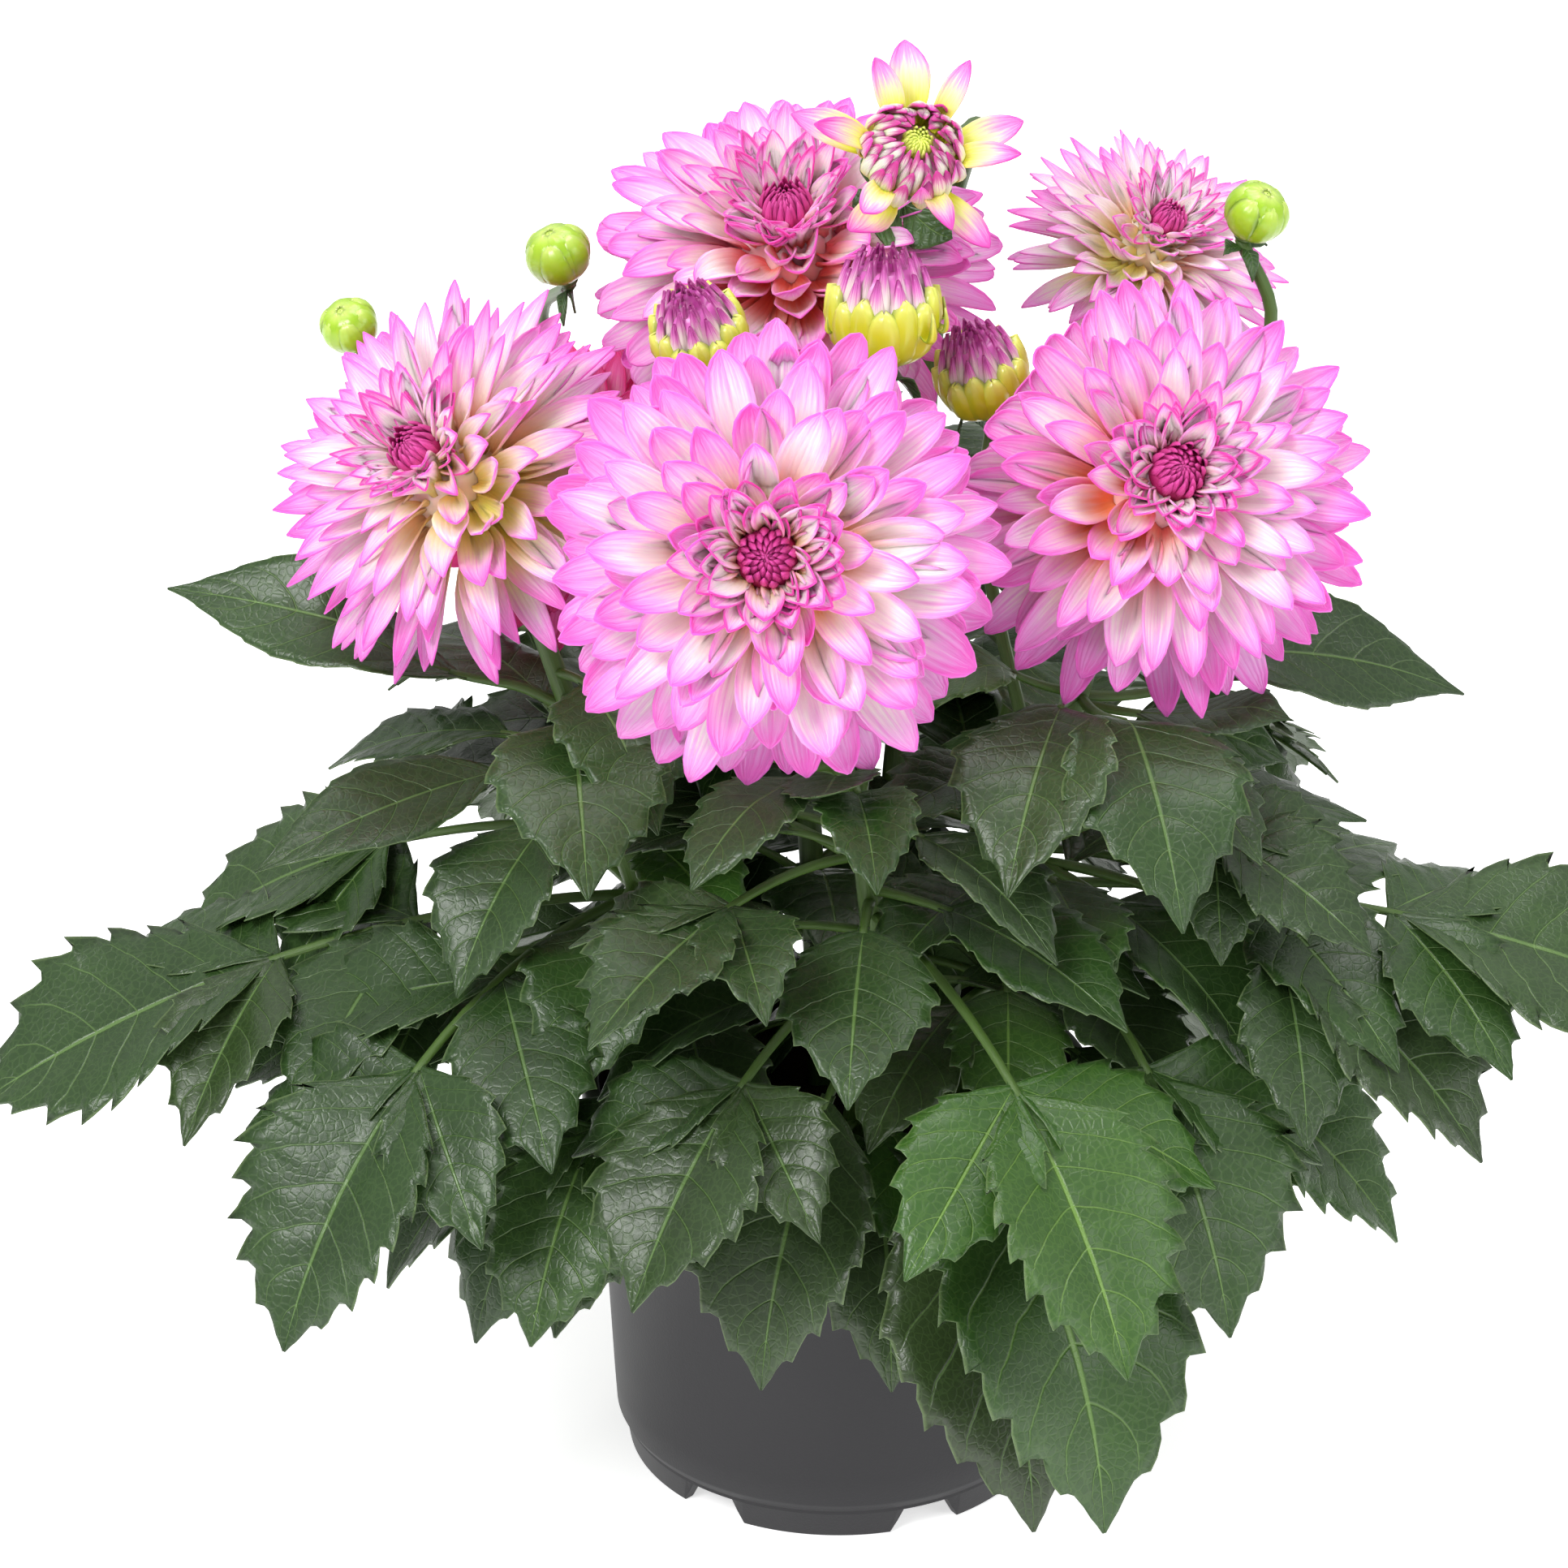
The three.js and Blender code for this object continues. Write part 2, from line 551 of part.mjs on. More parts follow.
// A leaf with its stalk as one thin solid, from its row in LEAVES
function leaf(stem, [heading, height, rise, length, droop, roll, kind]) {
  const pairs = PAIRS_AT[kind].length;
  const a = radians(heading);
  const e = radians(rise);
  const level = new THREE.Vector3(Math.cos(a), Math.sin(a), 0);
  const along = level.clone().multiplyScalar(Math.cos(e)).setZ(Math.sin(e));
  const down = level.clone().multiplyScalar(Math.sin(e)).setZ(-Math.cos(e));
  const arc = arcOf(stemPoint(stem, height), along, down, length, radians(droop));
  const tools = leafTools(arc, roll);
  const { made, main, edgeAt, ribAt } = tools;
  const base = made.edge(outOfBlooms(arc(0).point));
  const tip = made.edge(outOfBlooms(arc(1).point));
  const places = [...PAIRS_AT[kind], END_FROM[kind]];
  const joints = places.map((t) => ribAt(main(t), STALK_THICKNESS));
  const halfway = main(places[0] / 2);
  const stalkRib = [base, ...(pairs ? [ribAt(halfway, STALK_THICKNESS)] : []), joints[0]];
  const end = (t) => main(THREE.MathUtils.lerp(END_FROM[kind], 1, t));
  const endRib = [joints[pairs], ...END_RIBS.map((t) => ribAt(end(t), LEAF_THICKNESS)), tip];
  const endHalf = (length * (1 - END_FROM[kind]) * END_WIDTH[kind]) / 2;
  const endTeeth = pairs ? END_TEETH : ALONE_TEETH;
  for (const hand of [1, -1]) {
    let axil = edgeAt(main(places[0] - AXIL), hand * WING);
    const stalkEdge = pairs ? [edgeAt(halfway, hand * WING * STALK_SHARE)] : [];
    made.strip(stalkRib, [base, ...stalkEdge, axil], hand > 0);
    for (let i = 0; i < pairs; i++) {
      const reach = length * SIDE_LENGTH[kind][i];
      const ahead = sideLeaflet(tools, { t: places[i], reach, hand, joint: joints[i], axil });
      const isLast = i + 1 === pairs;
      axil = isLast ? ahead : edgeAt(main(places[i + 1] - AXIL), hand * WING);
      made.strip([joints[i], joints[i + 1]], isLast ? [axil] : [ahead, axil], hand > 0);
    }
    const teeth = endTeeth.map(([t, w]) => edgeAt(end(t), hand * w * endHalf));
    made.strip(endRib, [axil, ...teeth, tip], hand > 0);
  }
  return made.solid();
}

// The point of a stem at a height
function stemPoint(stem, height) {
  const points = stem.getSpacedPoints(60);
  return points.reduce((best, p) =>
    Math.abs(p.z - height) < Math.abs(best.z - height) ? p : best,
  ).clone();
}

// A local frame: forward is the way that a bloom or bud faces
function frameOf(face) {
  const forward = vector(face).normalize();
  const up = new THREE.Vector3(0, 0, 1).addScaledVector(forward, -forward.z).normalize();
  return { forward, up, right: forward.clone().cross(up).negate() };
}

const outAt = ({ right, up }, spin) =>
  right.clone().multiplyScalar(Math.cos(spin)).addScaledVector(up, Math.sin(spin));

// The point at a distance behind a bloom's or bud's middle
const behind = ({ at, face }, distance) =>
  vector(at).addScaledVector(vector(face).normalize(), -distance);

// A turned profile of [radius, height, notch, drop] stood along a frame's forward axis:
// every second side is drawn in by its point's notch share and lowered by its drop
function standing(profile, sides, at, frame) {
  const geometry = turned(profile, sides);
  const position = geometry.attributes.position;
  const rows = profile.length;
  for (let i = 0; i < position.count; i++) {
    const [, , notch = 0, drop = 0] = profile[i % rows];
    const lowered = Math.floor(i / rows) % 2;
    const share = 1 - notch * lowered;
    const z = position.getZ(i) - drop * lowered;
    position.setXYZ(i, position.getX(i) * share, position.getY(i) * share, z);
  }
  const basis = new THREE.Matrix4().makeBasis(frame.right, frame.up, frame.forward);
  return geometry.applyMatrix4(basis.setPosition(at));
}

// The same profile with radii, heights and drops in millimetres
const sized = (profile, size) =>
  profile.map(([r, z, notch = 0, drop = 0]) => [r * size, z * size, notch, drop * size]);

// A polygon round a bloom at a radius and height that are shares of the bloom's radius
function polygonOf(made, own, frame, [radius, height], count, turn) {
  const corners = [];
  for (let i = 0; i < count; i++) {
    const out = outAt(frame, turn + ((i + 0.5) * 2 * Math.PI) / count);
    const point = own.at.clone().addScaledVector(out, own.radius * radius);
    corners.push(made.edge(point.addScaledVector(frame.forward, own.radius * height))[0]);
  }
  return { corners, count, turn };
}

// A band of triangles between two polygons, whatever their numbers of corners
function band(made, lower, upper) {
  const angle = ({ count, turn }, i) => turn + ((i + 0.5) * 2 * Math.PI) / count;
  const corner = ({ corners, count }, i) => corners[((i % count) + count) % count];
  let j = Math.round((angle(lower, 0) - upper.turn) / ((2 * Math.PI) / upper.count) - 0.5);
  const lastUpper = j + upper.count;
  let i = 0;
  while (i < lower.count || j < lastUpper) {
    const lowerNext = angle(lower, i + 1) < angle(upper, j + 1);
    if (j === lastUpper || (i < lower.count && lowerNext)) {
      made.facet(corner(lower, i), corner(lower, i + 1), corner(upper, j));
      i++;
    } else {
      made.facet(corner(lower, i), corner(upper, j + 1), corner(upper, j));
      j++;
    }
  }
}

function cap(made, { corners, count }, centre, isFront) {
  const middle = made.edge(centre)[0];
  corners.forEach((corner, i) => {
    const next = corners[(i + 1) % count];
    made.facet(middle, ...(isFront ? [corner, next] : [next, corner]));
  });
}

// A petal from the core's corners on its left and right: it arches outwards and ends in a
// point, and its edges stand up a little
function petal(made, own, frame, { rise, half, root, core, ribs }, { spin, far, left, right }) {
  const { forward } = frame;
  const out = outAt(frame, spin);
  const across = forward.clone().cross(out);
  const ray = (deg, share) =>
    own.at.clone()
      .addScaledVector(out, own.radius * share * Math.cos(radians(deg)))
      .addScaledVector(forward, own.radius * share * Math.sin(radians(deg)));
  const start = own.at.clone().addScaledVector(out, own.radius * core);
  const curve = new THREE.QuadraticBezierCurve3(
    start.addScaledVector(forward, own.radius * root),
    ray(rise + PETAL_ARCH_DEG, far * PETAL_ARCH_AT),
    ray(rise, far),
  );
  const place = (t, w, lift) => {
    const normal = curve.getTangent(t).cross(across).normalize();
    const cup = own.radius * half * (Math.abs(w) - 0.5) * PETAL_CUP;
    const point = curve.getPoint(t).addScaledVector(across, own.radius * half * w);
    return pressed(point.addScaledVector(normal, lift + cup), own);
  };
  const tip = made.edge(pressed(curve.getPoint(1), own));
  const edges = PETAL_EDGES[ribs];
  const rib = edges.map(([t]) =>
    made.rib(place(t, 0, PETAL_THICKNESS / 2), place(t, 0, -PETAL_THICKNESS / 2)),
  );
  made.facet(right[0], rib[0][0], left[0]);
  made.facet(left[1], rib[0][1], right[1]);
  for (const [base, hand] of [[left, 1], [right, -1]]) {
    const side = edges.map(([t, w]) => made.edge(place(t, hand * w, 0)));
    made.strip([...rib, tip], [base, ...side, tip], hand > 0);
    made.facet(...(hand > 0 ? [base[1], base[0]] : base), side[0][0]);
  }
}

// One ring of petals between two polygons of the core
function petalRing(made, own, frame, ring, turn, random) {
  const { reach, count, root, core } = ring;
  const thick = PETAL_THICKNESS / own.radius / 2;
  const under = polygonOf(made, own, frame, [core, root - thick], count, turn);
  const top = polygonOf(made, own, frame, [core, root + thick], count, turn);
  for (let i = 0; i < count; i++) {
    const before = (i + count - 1) % count;
    petal(made, own, frame, ring, {
      spin: turn + ((i + PETAL_SWAY * (random() - 0.5)) * 2 * Math.PI) / count,
      far: reach * (PETAL_REACH[0] + PETAL_REACH[1] * random()),
      left: [top.corners[i], under.corners[i]],
      right: [top.corners[before], under.corners[before]],
    });
  }
  return { under, top };
}

// A bloom: rings of petals stacked from its back to its eye, joined by the core
function bloomSolid(own, face, rings, seed) {
  const random = randomFrom(seed);
  const frame = frameOf(face);
  const made = thinSolid();
  const onAxis = (share) => own.at.clone().addScaledVector(frame.forward, share * own.radius);
  let below = polygonOf(made, own, frame, [CORE_BACK_RADIUS, -CORE_BACK], CORE_SIDES, 0);
  cap(made, below, onAxis(-CORE_BACK), false);
  rings.forEach((ring, k) => {
    const turn = RING_TURN + (k * Math.PI) / ring.count;
    const { under, top } = petalRing(made, own, frame, ring, turn, random);
    band(made, below, under);
    below = top;
  });
  cap(made, below, onAxis(EYE_SEAT), true);
  return made.solid();
}

function eyeSolid(own, face) {
  const frame = frameOf(face);
  const at = own.at.clone().addScaledVector(frame.forward, own.radius * EYE_SEAT + GAP + EYE_SPARE);
  return solidOf(standing(sized(EYE_PROFILE, own.radius * EYE_SHARE), EYE_SIDES, at, frame));
}

// The green cup and the bracts behind a bloom or bud, back from its middle
function calyx(head, radius, back, bracts) {
  const frame = frameOf(head.face);
  const cup = standing(sized(CUP_PROFILE, radius), CUP_SIDES, behind(head, back), frame);
  const solids = [solidOf(cup)];
  const start = behind(head, back + CUP_SEAT * radius);
  for (let i = 0; i < bracts; i++) {
    const out = outAt(frame, (2 * Math.PI * i) / bracts);
    const mix = (a, b) => out.clone().multiplyScalar(a).addScaledVector(frame.forward, b);
    const down = mix(-BRACT_BACK, -BRACT_OUT);
    const arc = arcOf(start, mix(BRACT_OUT, -BRACT_BACK), down, radius * BRACT_LENGTH, BRACT_BEND);
    const place = (t, w, lift) => {
      const { point, up, side } = arc(t);
      return point.addScaledVector(side, w * radius * BRACT_HALF).addScaledVector(up, lift);
    };
    solids.push(blade(place, BRACT_WIDEST, BRACT_THICKNESS));
  }
  return solids;
}

function budSolid({ at, face, radius, open }) {
  const profile = open ? OPEN_BUD_PROFILE : BUD_PROFILE;
  const sides = open ? OPEN_BUD_SIDES : BUD_SIDES;
  return solidOf(standing(sized(profile, radius), sides, vector(at), frameOf(face)));
}

// A bud's stalk from its stem, with the cup and bracts behind the bud
function budStalk(stem, bud) {
  const back = bud.radius * BUD_SEAT + GAP;
  const end = behind(bud, back + BUD_CUP_SEAT * bud.radius);
  const curve = new THREE.CatmullRomCurve3([stemPoint(stem, bud.from), vector(bud.bend), end]);
  const stalk = tube(curve, STALK_STEPS, STALK_SIDES, STALK_RADIUS, STALK_RADIUS);
  return [solidOf(stalk), ...calyx(bud, bud.radius * BUD_CUP, back, BUD_BRACTS)];
}

// A leafy stem with the stalks of its buds and the cups behind its bloom and buds
function leafyStem(name) {
  const bloom = name === "opening" ? OPENING : BLOOMS[name];
  const back = CORE_BACK * bloom.radius + GAP;
  const end = behind(bloom, back + CUP_SEAT * bloom.radius);
  const stem = new THREE.CatmullRomCurve3([...STEMS[name].map(vector), end]);
  const steps = Math.round(stem.getLength() / STEM_STEP);
  const solids = [solidOf(tube(stem, steps, STEM_SIDES, STEM_ROOT_RADIUS, STEM_TOP_RADIUS))];
  LEAVES[name].forEach((row) => solids.push(leaf(stem, row)));
  solids.push(...calyx(bloom, bloom.radius, back, 0));
  for (const bud of Object.values(BUDS).filter((b) => b.stem === name)) {
    solids.push(...budStalk(stem, bud));
  }
  return wasm.Manifold.union(solids);
}

function potBody() {
  const profile = [
    [0, FLOOR_UNDER_Z],
    [FOOT_RADIUS - FOOT_RING - 1, FLOOR_UNDER_Z],
    [FOOT_RADIUS - FOOT_RING, 0],
    [FOOT_RADIUS, 0],
    [FOOT_RADIUS + FOOT_FLARE, FOOT_HEIGHT],
    [WALL_FOOT_RADIUS, WALL_FOOT_Z],
    [WALL_TOP_RADIUS, POT_HEIGHT - LIP_HEIGHT],
    [LIP_RADIUS, POT_HEIGHT - LIP_HEIGHT + LIP_BEVEL],
    [LIP_RADIUS, POT_HEIGHT - LIP_BEVEL],
    [LIP_RADIUS - LIP_BEVEL, POT_HEIGHT],
    [WALL_TOP_RADIUS - WALL + INSIDE_FLARE, POT_HEIGHT],
    [WALL_FOOT_RADIUS - WALL, FLOOR_TOP_Z],
    [0, FLOOR_TOP_Z],
  ];
  return solidOf(turned(profile, POT_SIDES));
}

// The pot with the notches in its foot ring and the drain holes in its floor
function potSolid() {
  let pot = potBody();
  const notch = new THREE.Shape([
    new THREE.Vector2(-NOTCH_WIDTH / 2, -1),
    new THREE.Vector2(NOTCH_WIDTH / 2, -1),
    new THREE.Vector2(NOTCH_TOP_WIDTH / 2, NOTCH_HEIGHT),
    new THREE.Vector2(-NOTCH_TOP_WIDTH / 2, NOTCH_HEIGHT),
  ]);
  for (let i = 0; i < NOTCHES; i++) {
    const cut = new THREE.ExtrudeGeometry(notch, { depth: NOTCH_DEPTH, bevelEnabled: false });
    cut.rotateX(Math.PI / 2).rotateZ(Math.PI / 2).translate(FOOT_RADIUS - NOTCH_INSIDE, 0, 0);
    cut.rotateZ(radians(NOTCH_FIRST_DEG + (360 * i) / NOTCHES));
    pot = pot.subtract(solidOf(cut));
  }
  for (let i = 0; i < DRAIN_HOLES; i++) {
    const hole = new THREE.CylinderGeometry(DRAIN_RADIUS, DRAIN_RADIUS, DRAIN_DEPTH, DRAIN_SIDES);
    hole.rotateX(Math.PI / 2).translate(DRAIN_PLACE, 0, (FLOOR_UNDER_Z + FLOOR_TOP_Z) / 2);
    hole.rotateZ(radians(DRAIN_FIRST_DEG + (360 * i) / DRAIN_HOLES));
    pot = pot.subtract(solidOf(hole));
  }
  return pot;
}

// The soil fills the pot and has a plain hole for each stem
function soilSolid() {
  const wall = WALL_TOP_RADIUS + INSIDE_FLARE - WALL_FOOT_RADIUS;
  const slope = wall / (POT_HEIGHT - FLOOR_TOP_Z);
  const inside = (z) => WALL_FOOT_RADIUS - WALL + slope * (z - FLOOR_TOP_Z) - GAP;
  const bottom = FLOOR_TOP_Z + GAP;
  const profile = [
    [0, bottom],
    [inside(bottom), bottom],
    [inside(SOIL_EDGE_Z), SOIL_EDGE_Z],
    [SOIL_SHOULDER_RADIUS, SOIL_SHOULDER_Z],
    [0, SOIL_CROWN_Z],
  ];
  let soil = solidOf(turned(profile, POT_SIDES));
  const radius = STEM_ROOT_RADIUS + STEM_HOLE_SPARE;
  for (const points of Object.values(STEMS)) {
    const [foot, next] = points.map(vector);
    const rise = next.sub(foot).normalize();
    const start = foot.clone().addScaledVector(rise, -STEM_HOLE_SPARE);
    const end = foot.clone().addScaledVector(rise, STEM_HOLE_DEPTH);
    const hole = tube(new THREE.LineCurve3(start, end), 1, STEM_SIDES, radius, radius);
    soil = soil.subtract(solidOf(hole));
  }
  return soil;
}

const dahlia = new THREE.Group();
dahlia.add(meshOf("pot", potSolid(), POT_PLASTIC));
dahlia.add(meshOf("soil", soilSolid(), SOIL_BROWN));
for (const name of Object.keys(STEMS)) {
  dahlia.add(meshOf("stem_" + name, leafyStem(name), LEAF_GREEN));
}
Object.entries(BLOOMS).forEach(([name, bloom], i) => {
  const solid = bloomSolid(blooms[i], bloom.face, PETAL_RINGS, BLOOM_SEED + i);
  dahlia.add(meshOf("bloom_" + name, solid, PETAL_PINK));
  dahlia.add(meshOf("eye_" + name, eyeSolid(blooms[i], bloom.face), EYE_MAGENTA));
});
const openingHead = blooms[blooms.length - 1];
const opening = bloomSolid(openingHead, OPENING.face, OPENING_RINGS, OPENING_SEED);
dahlia.add(meshOf("bloom_opening", opening, PETAL_PINK));
dahlia.add(meshOf("eye_opening", eyeSolid(openingHead, OPENING.face), EYE_GREEN));
for (const [name, bud] of Object.entries(BUDS)) {
  dahlia.add(meshOf(name, budSolid(bud), bud.open ? BUD_STRIPED : BUD_GREEN));
}

export default dahlia;
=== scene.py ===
import math

import bpy
import numpy as np
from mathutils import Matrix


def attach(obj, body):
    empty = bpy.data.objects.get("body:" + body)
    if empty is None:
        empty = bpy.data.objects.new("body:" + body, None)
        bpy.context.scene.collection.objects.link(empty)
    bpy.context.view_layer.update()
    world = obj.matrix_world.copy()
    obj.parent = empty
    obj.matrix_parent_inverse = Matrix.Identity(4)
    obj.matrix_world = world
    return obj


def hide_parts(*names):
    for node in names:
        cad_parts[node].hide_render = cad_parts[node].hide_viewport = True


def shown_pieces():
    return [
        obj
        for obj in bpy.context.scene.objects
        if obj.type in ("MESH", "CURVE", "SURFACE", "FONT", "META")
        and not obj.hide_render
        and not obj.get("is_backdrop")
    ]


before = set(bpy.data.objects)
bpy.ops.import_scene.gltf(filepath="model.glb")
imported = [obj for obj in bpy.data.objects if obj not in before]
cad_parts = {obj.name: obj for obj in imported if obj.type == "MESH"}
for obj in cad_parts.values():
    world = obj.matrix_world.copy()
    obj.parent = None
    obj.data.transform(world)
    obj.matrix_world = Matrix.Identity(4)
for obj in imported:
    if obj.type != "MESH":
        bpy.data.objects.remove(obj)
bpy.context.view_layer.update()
mm = 0.001
fullTurn = 2 * math.pi


def unit(v):
    v = np.asarray(v, float)
    return v / np.linalg.norm(v, axis=-1, keepdims=True)


def stack3(a, b, c):
    # three fields of numbers as one field of points
    return np.stack(np.broadcast_arrays(a, b, c), -1)


def ease(value, low, high):
    share = np.clip((value - low) / (high - low), 0, 1)
    return share * share * (3 - 2 * share)


def drawsFrom(seed):
    # repeatable numbers from 0 to 1, the same as in the solids
    state = seed
    while True:
        state = (state * 1664525 + 1013904223) % 4294967296
        yield state / 4294967296


def curveThrough(knots, places, spread=9):
    # a soft line through a few [place, value] knots
    fine = np.linspace(0, 1, 241)
    line = np.interp(fine, [k[0] for k in knots], [k[1] for k in knots])
    padded = np.concatenate([[line[0]] * spread, line, [line[-1]] * spread])
    soft = np.convolve(padded, np.ones(spread) / spread, "same")[spread:-spread]
    near = ease(fine, 0, 0.05) * (1 - ease(fine, 0.95, 1))
    return np.interp(places, fine, line * (1 - near) + soft * near)


def axesOf(face):
    forward = unit(face)
    up = unit(np.array([0, 0, 1.0]) - forward * forward[2])
    return forward, up, -np.cross(forward, up)


def waysRound(spins, axes):
    # outward directions round the way forward
    _, up, right = axes
    return np.cos(spins)[:, None] * right + np.sin(spins)[:, None] * up


# A heap gathers the points and faces of one piece. Each point has a place, which is
# along, across and a tone, and traits, which are a random draw, a tint and 1 on its face.
def newHeap():
    return {"points": [], "quads": [], "place": [], "trait": [], "skins": [], "count": 0}


def addFaces(heap, points, quads, place, trait, skin):
    points = points.reshape(-1, 3)
    heap["points"].append(points)
    heap["quads"].append(quads + heap["count"])
    heap["place"].append(np.broadcast_to(place.reshape(-1, 3), points.shape))
    heap["trait"].append(np.broadcast_to(trait.reshape(-1, 3), points.shape))
    heap["skins"].append(np.full(len(quads), skin))
    heap["count"] += len(points)


def sheetQuads(rows, cols):
    grid = np.arange(rows * cols).reshape(rows, cols)
    size = rows * cols
    a, b = grid[:-1, :-1].ravel(), grid[:-1, 1:].ravel()
    c, d = grid[1:, 1:].ravel(), grid[1:, :-1].ravel()
    top = np.stack([a, d, c, b], 1)
    under = np.stack([a, b, c, d], 1) + size
    loop = np.concatenate([grid[0], grid[1:, -1], grid[-1, -2::-1], grid[-2:0:-1, 0]])
    ahead = np.roll(loop, -1)
    rim = np.stack([loop, ahead, ahead + size, loop + size], 1)
    return np.concatenate([top, under, rim])


def addSheets(heap, middle, normal, thick, place, trait, skin):
    # thin closed blades: middle and normal are (blades, rows, cols, 3), or one blade's alone
    rows, cols = middle.shape[-3:-1]
    lift = normal * (np.asarray(thick)[..., None] / 2)
    faces = [(middle + lift).reshape(-1, rows * cols, 3), (middle - lift).reshape(-1, rows * cols, 3)]
    points = np.concatenate(faces, 1)
    starts = np.arange(len(points)) * (2 * rows * cols)
    quads = (sheetQuads(rows, cols)[None] + starts[:, None, None]).reshape(-1, 4)
    place, trait = (np.broadcast_to(v, middle.shape).reshape(len(points), -1, 3)
                    for v in (place, trait))
    upper, under = trait.copy(), trait.copy()
    upper[..., 2] = 1
    under[..., 2] = 0
    addFaces(heap, points, quads, np.concatenate([place, place], 1),
             np.concatenate([upper, under], 1), skin)


def ribbonPoints(middle, across, normal, width, w, lift):
    # the points of ribbons along their middles, with columns at w and lifted by lift
    size = width[..., None]
    return (middle[..., None, :] + across[..., None, None, :] * (size * w)[..., None]
            + normal[..., None, :] * (size * lift)[..., None])


def addRings(heap, rings, place, trait, skin):
    # a body of rings round an axis, each with as many points
    rows, cols, _ = rings.shape
    grid = np.arange(rows * cols).reshape(rows, cols)
    ahead = np.roll(grid, -1, 1)
    quads = np.stack([grid[:-1], ahead[:-1], ahead[1:], grid[1:]], -1).reshape(-1, 4)
    place, trait = (np.broadcast_to(v, rings.shape) for v in (place, trait))
    addFaces(heap, rings, quads, place, trait, skin)


def addTurned(heap, at, axes, size, profile, trait, skin, tone=0.0):
    # a body turned round the way forward, from radii and heights as shares of size
    profile = np.array(profile)
    out = waysRound(np.linspace(0, fullTurn, 32, endpoint=False), axes)
    rings = at + size * (out[None] * profile[:, 0, None, None]
                         + axes[0] * profile[:, 1, None, None])
    along = np.linspace(0, 1, len(profile))[:, None]
    addRings(heap, rings, stack3(along, 0, tone), trait, skin)


def addTube(heap, centres, radii, sides, trait, skin, side=None, flat=1.0):
    ahead = unit(np.gradient(centres, axis=0))
    if side is None:
        hint = np.array([0.0, 1.0, 0.0]) if abs(ahead[0][1]) < 0.8 else np.array([1.0, 0, 0])
        side = unit(np.cross(ahead, hint))
    over = unit(np.cross(side, ahead))
    turn = np.linspace(0, fullTurn, sides, endpoint=False)
    radii = np.asarray(radii, float)
    radii = np.concatenate([[radii[0] * 0.05], radii, [radii[-1] * 0.05]])[:, None, None]
    centres, side, over = (np.concatenate([v[:1], v, v[-1:]]) for v in (centres, side, over))
    rings = (centres[:, None] + side[:, None] * np.cos(turn)[None, :, None] * radii
             + over[:, None] * np.sin(turn)[None, :, None] * radii * flat)
    place = stack3(np.linspace(0, 1, len(centres))[:, None], np.cos(turn)[None], 0)
    addRings(heap, rings[:, ::-1], place[:, ::-1], trait, skin)


def finishPiece(name, heap, skins, slotName, *nodes):
    mesh = bpy.data.meshes.new(name)
    points = np.concatenate(heap["points"]).astype(np.float32)
    quads = np.concatenate(heap["quads"]).astype(np.int32)
    mesh.vertices.add(len(points))
    mesh.vertices.foreach_set("co", points.ravel())
    mesh.loops.add(quads.size)
    mesh.loops.foreach_set("vertex_index", quads.ravel())
    mesh.polygons.add(len(quads))
    mesh.polygons.foreach_set("loop_start", np.arange(0, quads.size, 4, dtype=np.int32))
    mesh.polygons.foreach_set("loop_total", np.full(len(quads), 4, np.int32))
    mesh.polygons.foreach_set("use_smooth", np.ones(len(quads), bool))
    for skin in skins:
        mesh.materials.append(skin.material)
    mesh.polygons.foreach_set("material_index",
                              np.concatenate(heap["skins"]).astype(np.int32))
    for key in ("place", "trait"):
        values = np.concatenate(heap[key]).astype(np.float32)
        mesh.attributes.new(key, "FLOAT_VECTOR", "POINT").data.foreach_set(
            "vector", values.ravel())
    mesh.update(calc_edges=True)
    piece = bpy.data.objects.new(name, mesh)
    bpy.context.scene.collection.objects.link(piece)
    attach(piece, "root")
    if nodes:
        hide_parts(*nodes)
    return piece


def tint(red, green, blue):
    # a screen colour from 0 to 255 as the light values that a shader takes
    values = []
    for c in (red / 255, green / 255, blue / 255):
        values.append(c / 12.92 if c <= 0.04045 else ((c + 0.055) / 1.055) ** 2.4)
    return (*values, 1)


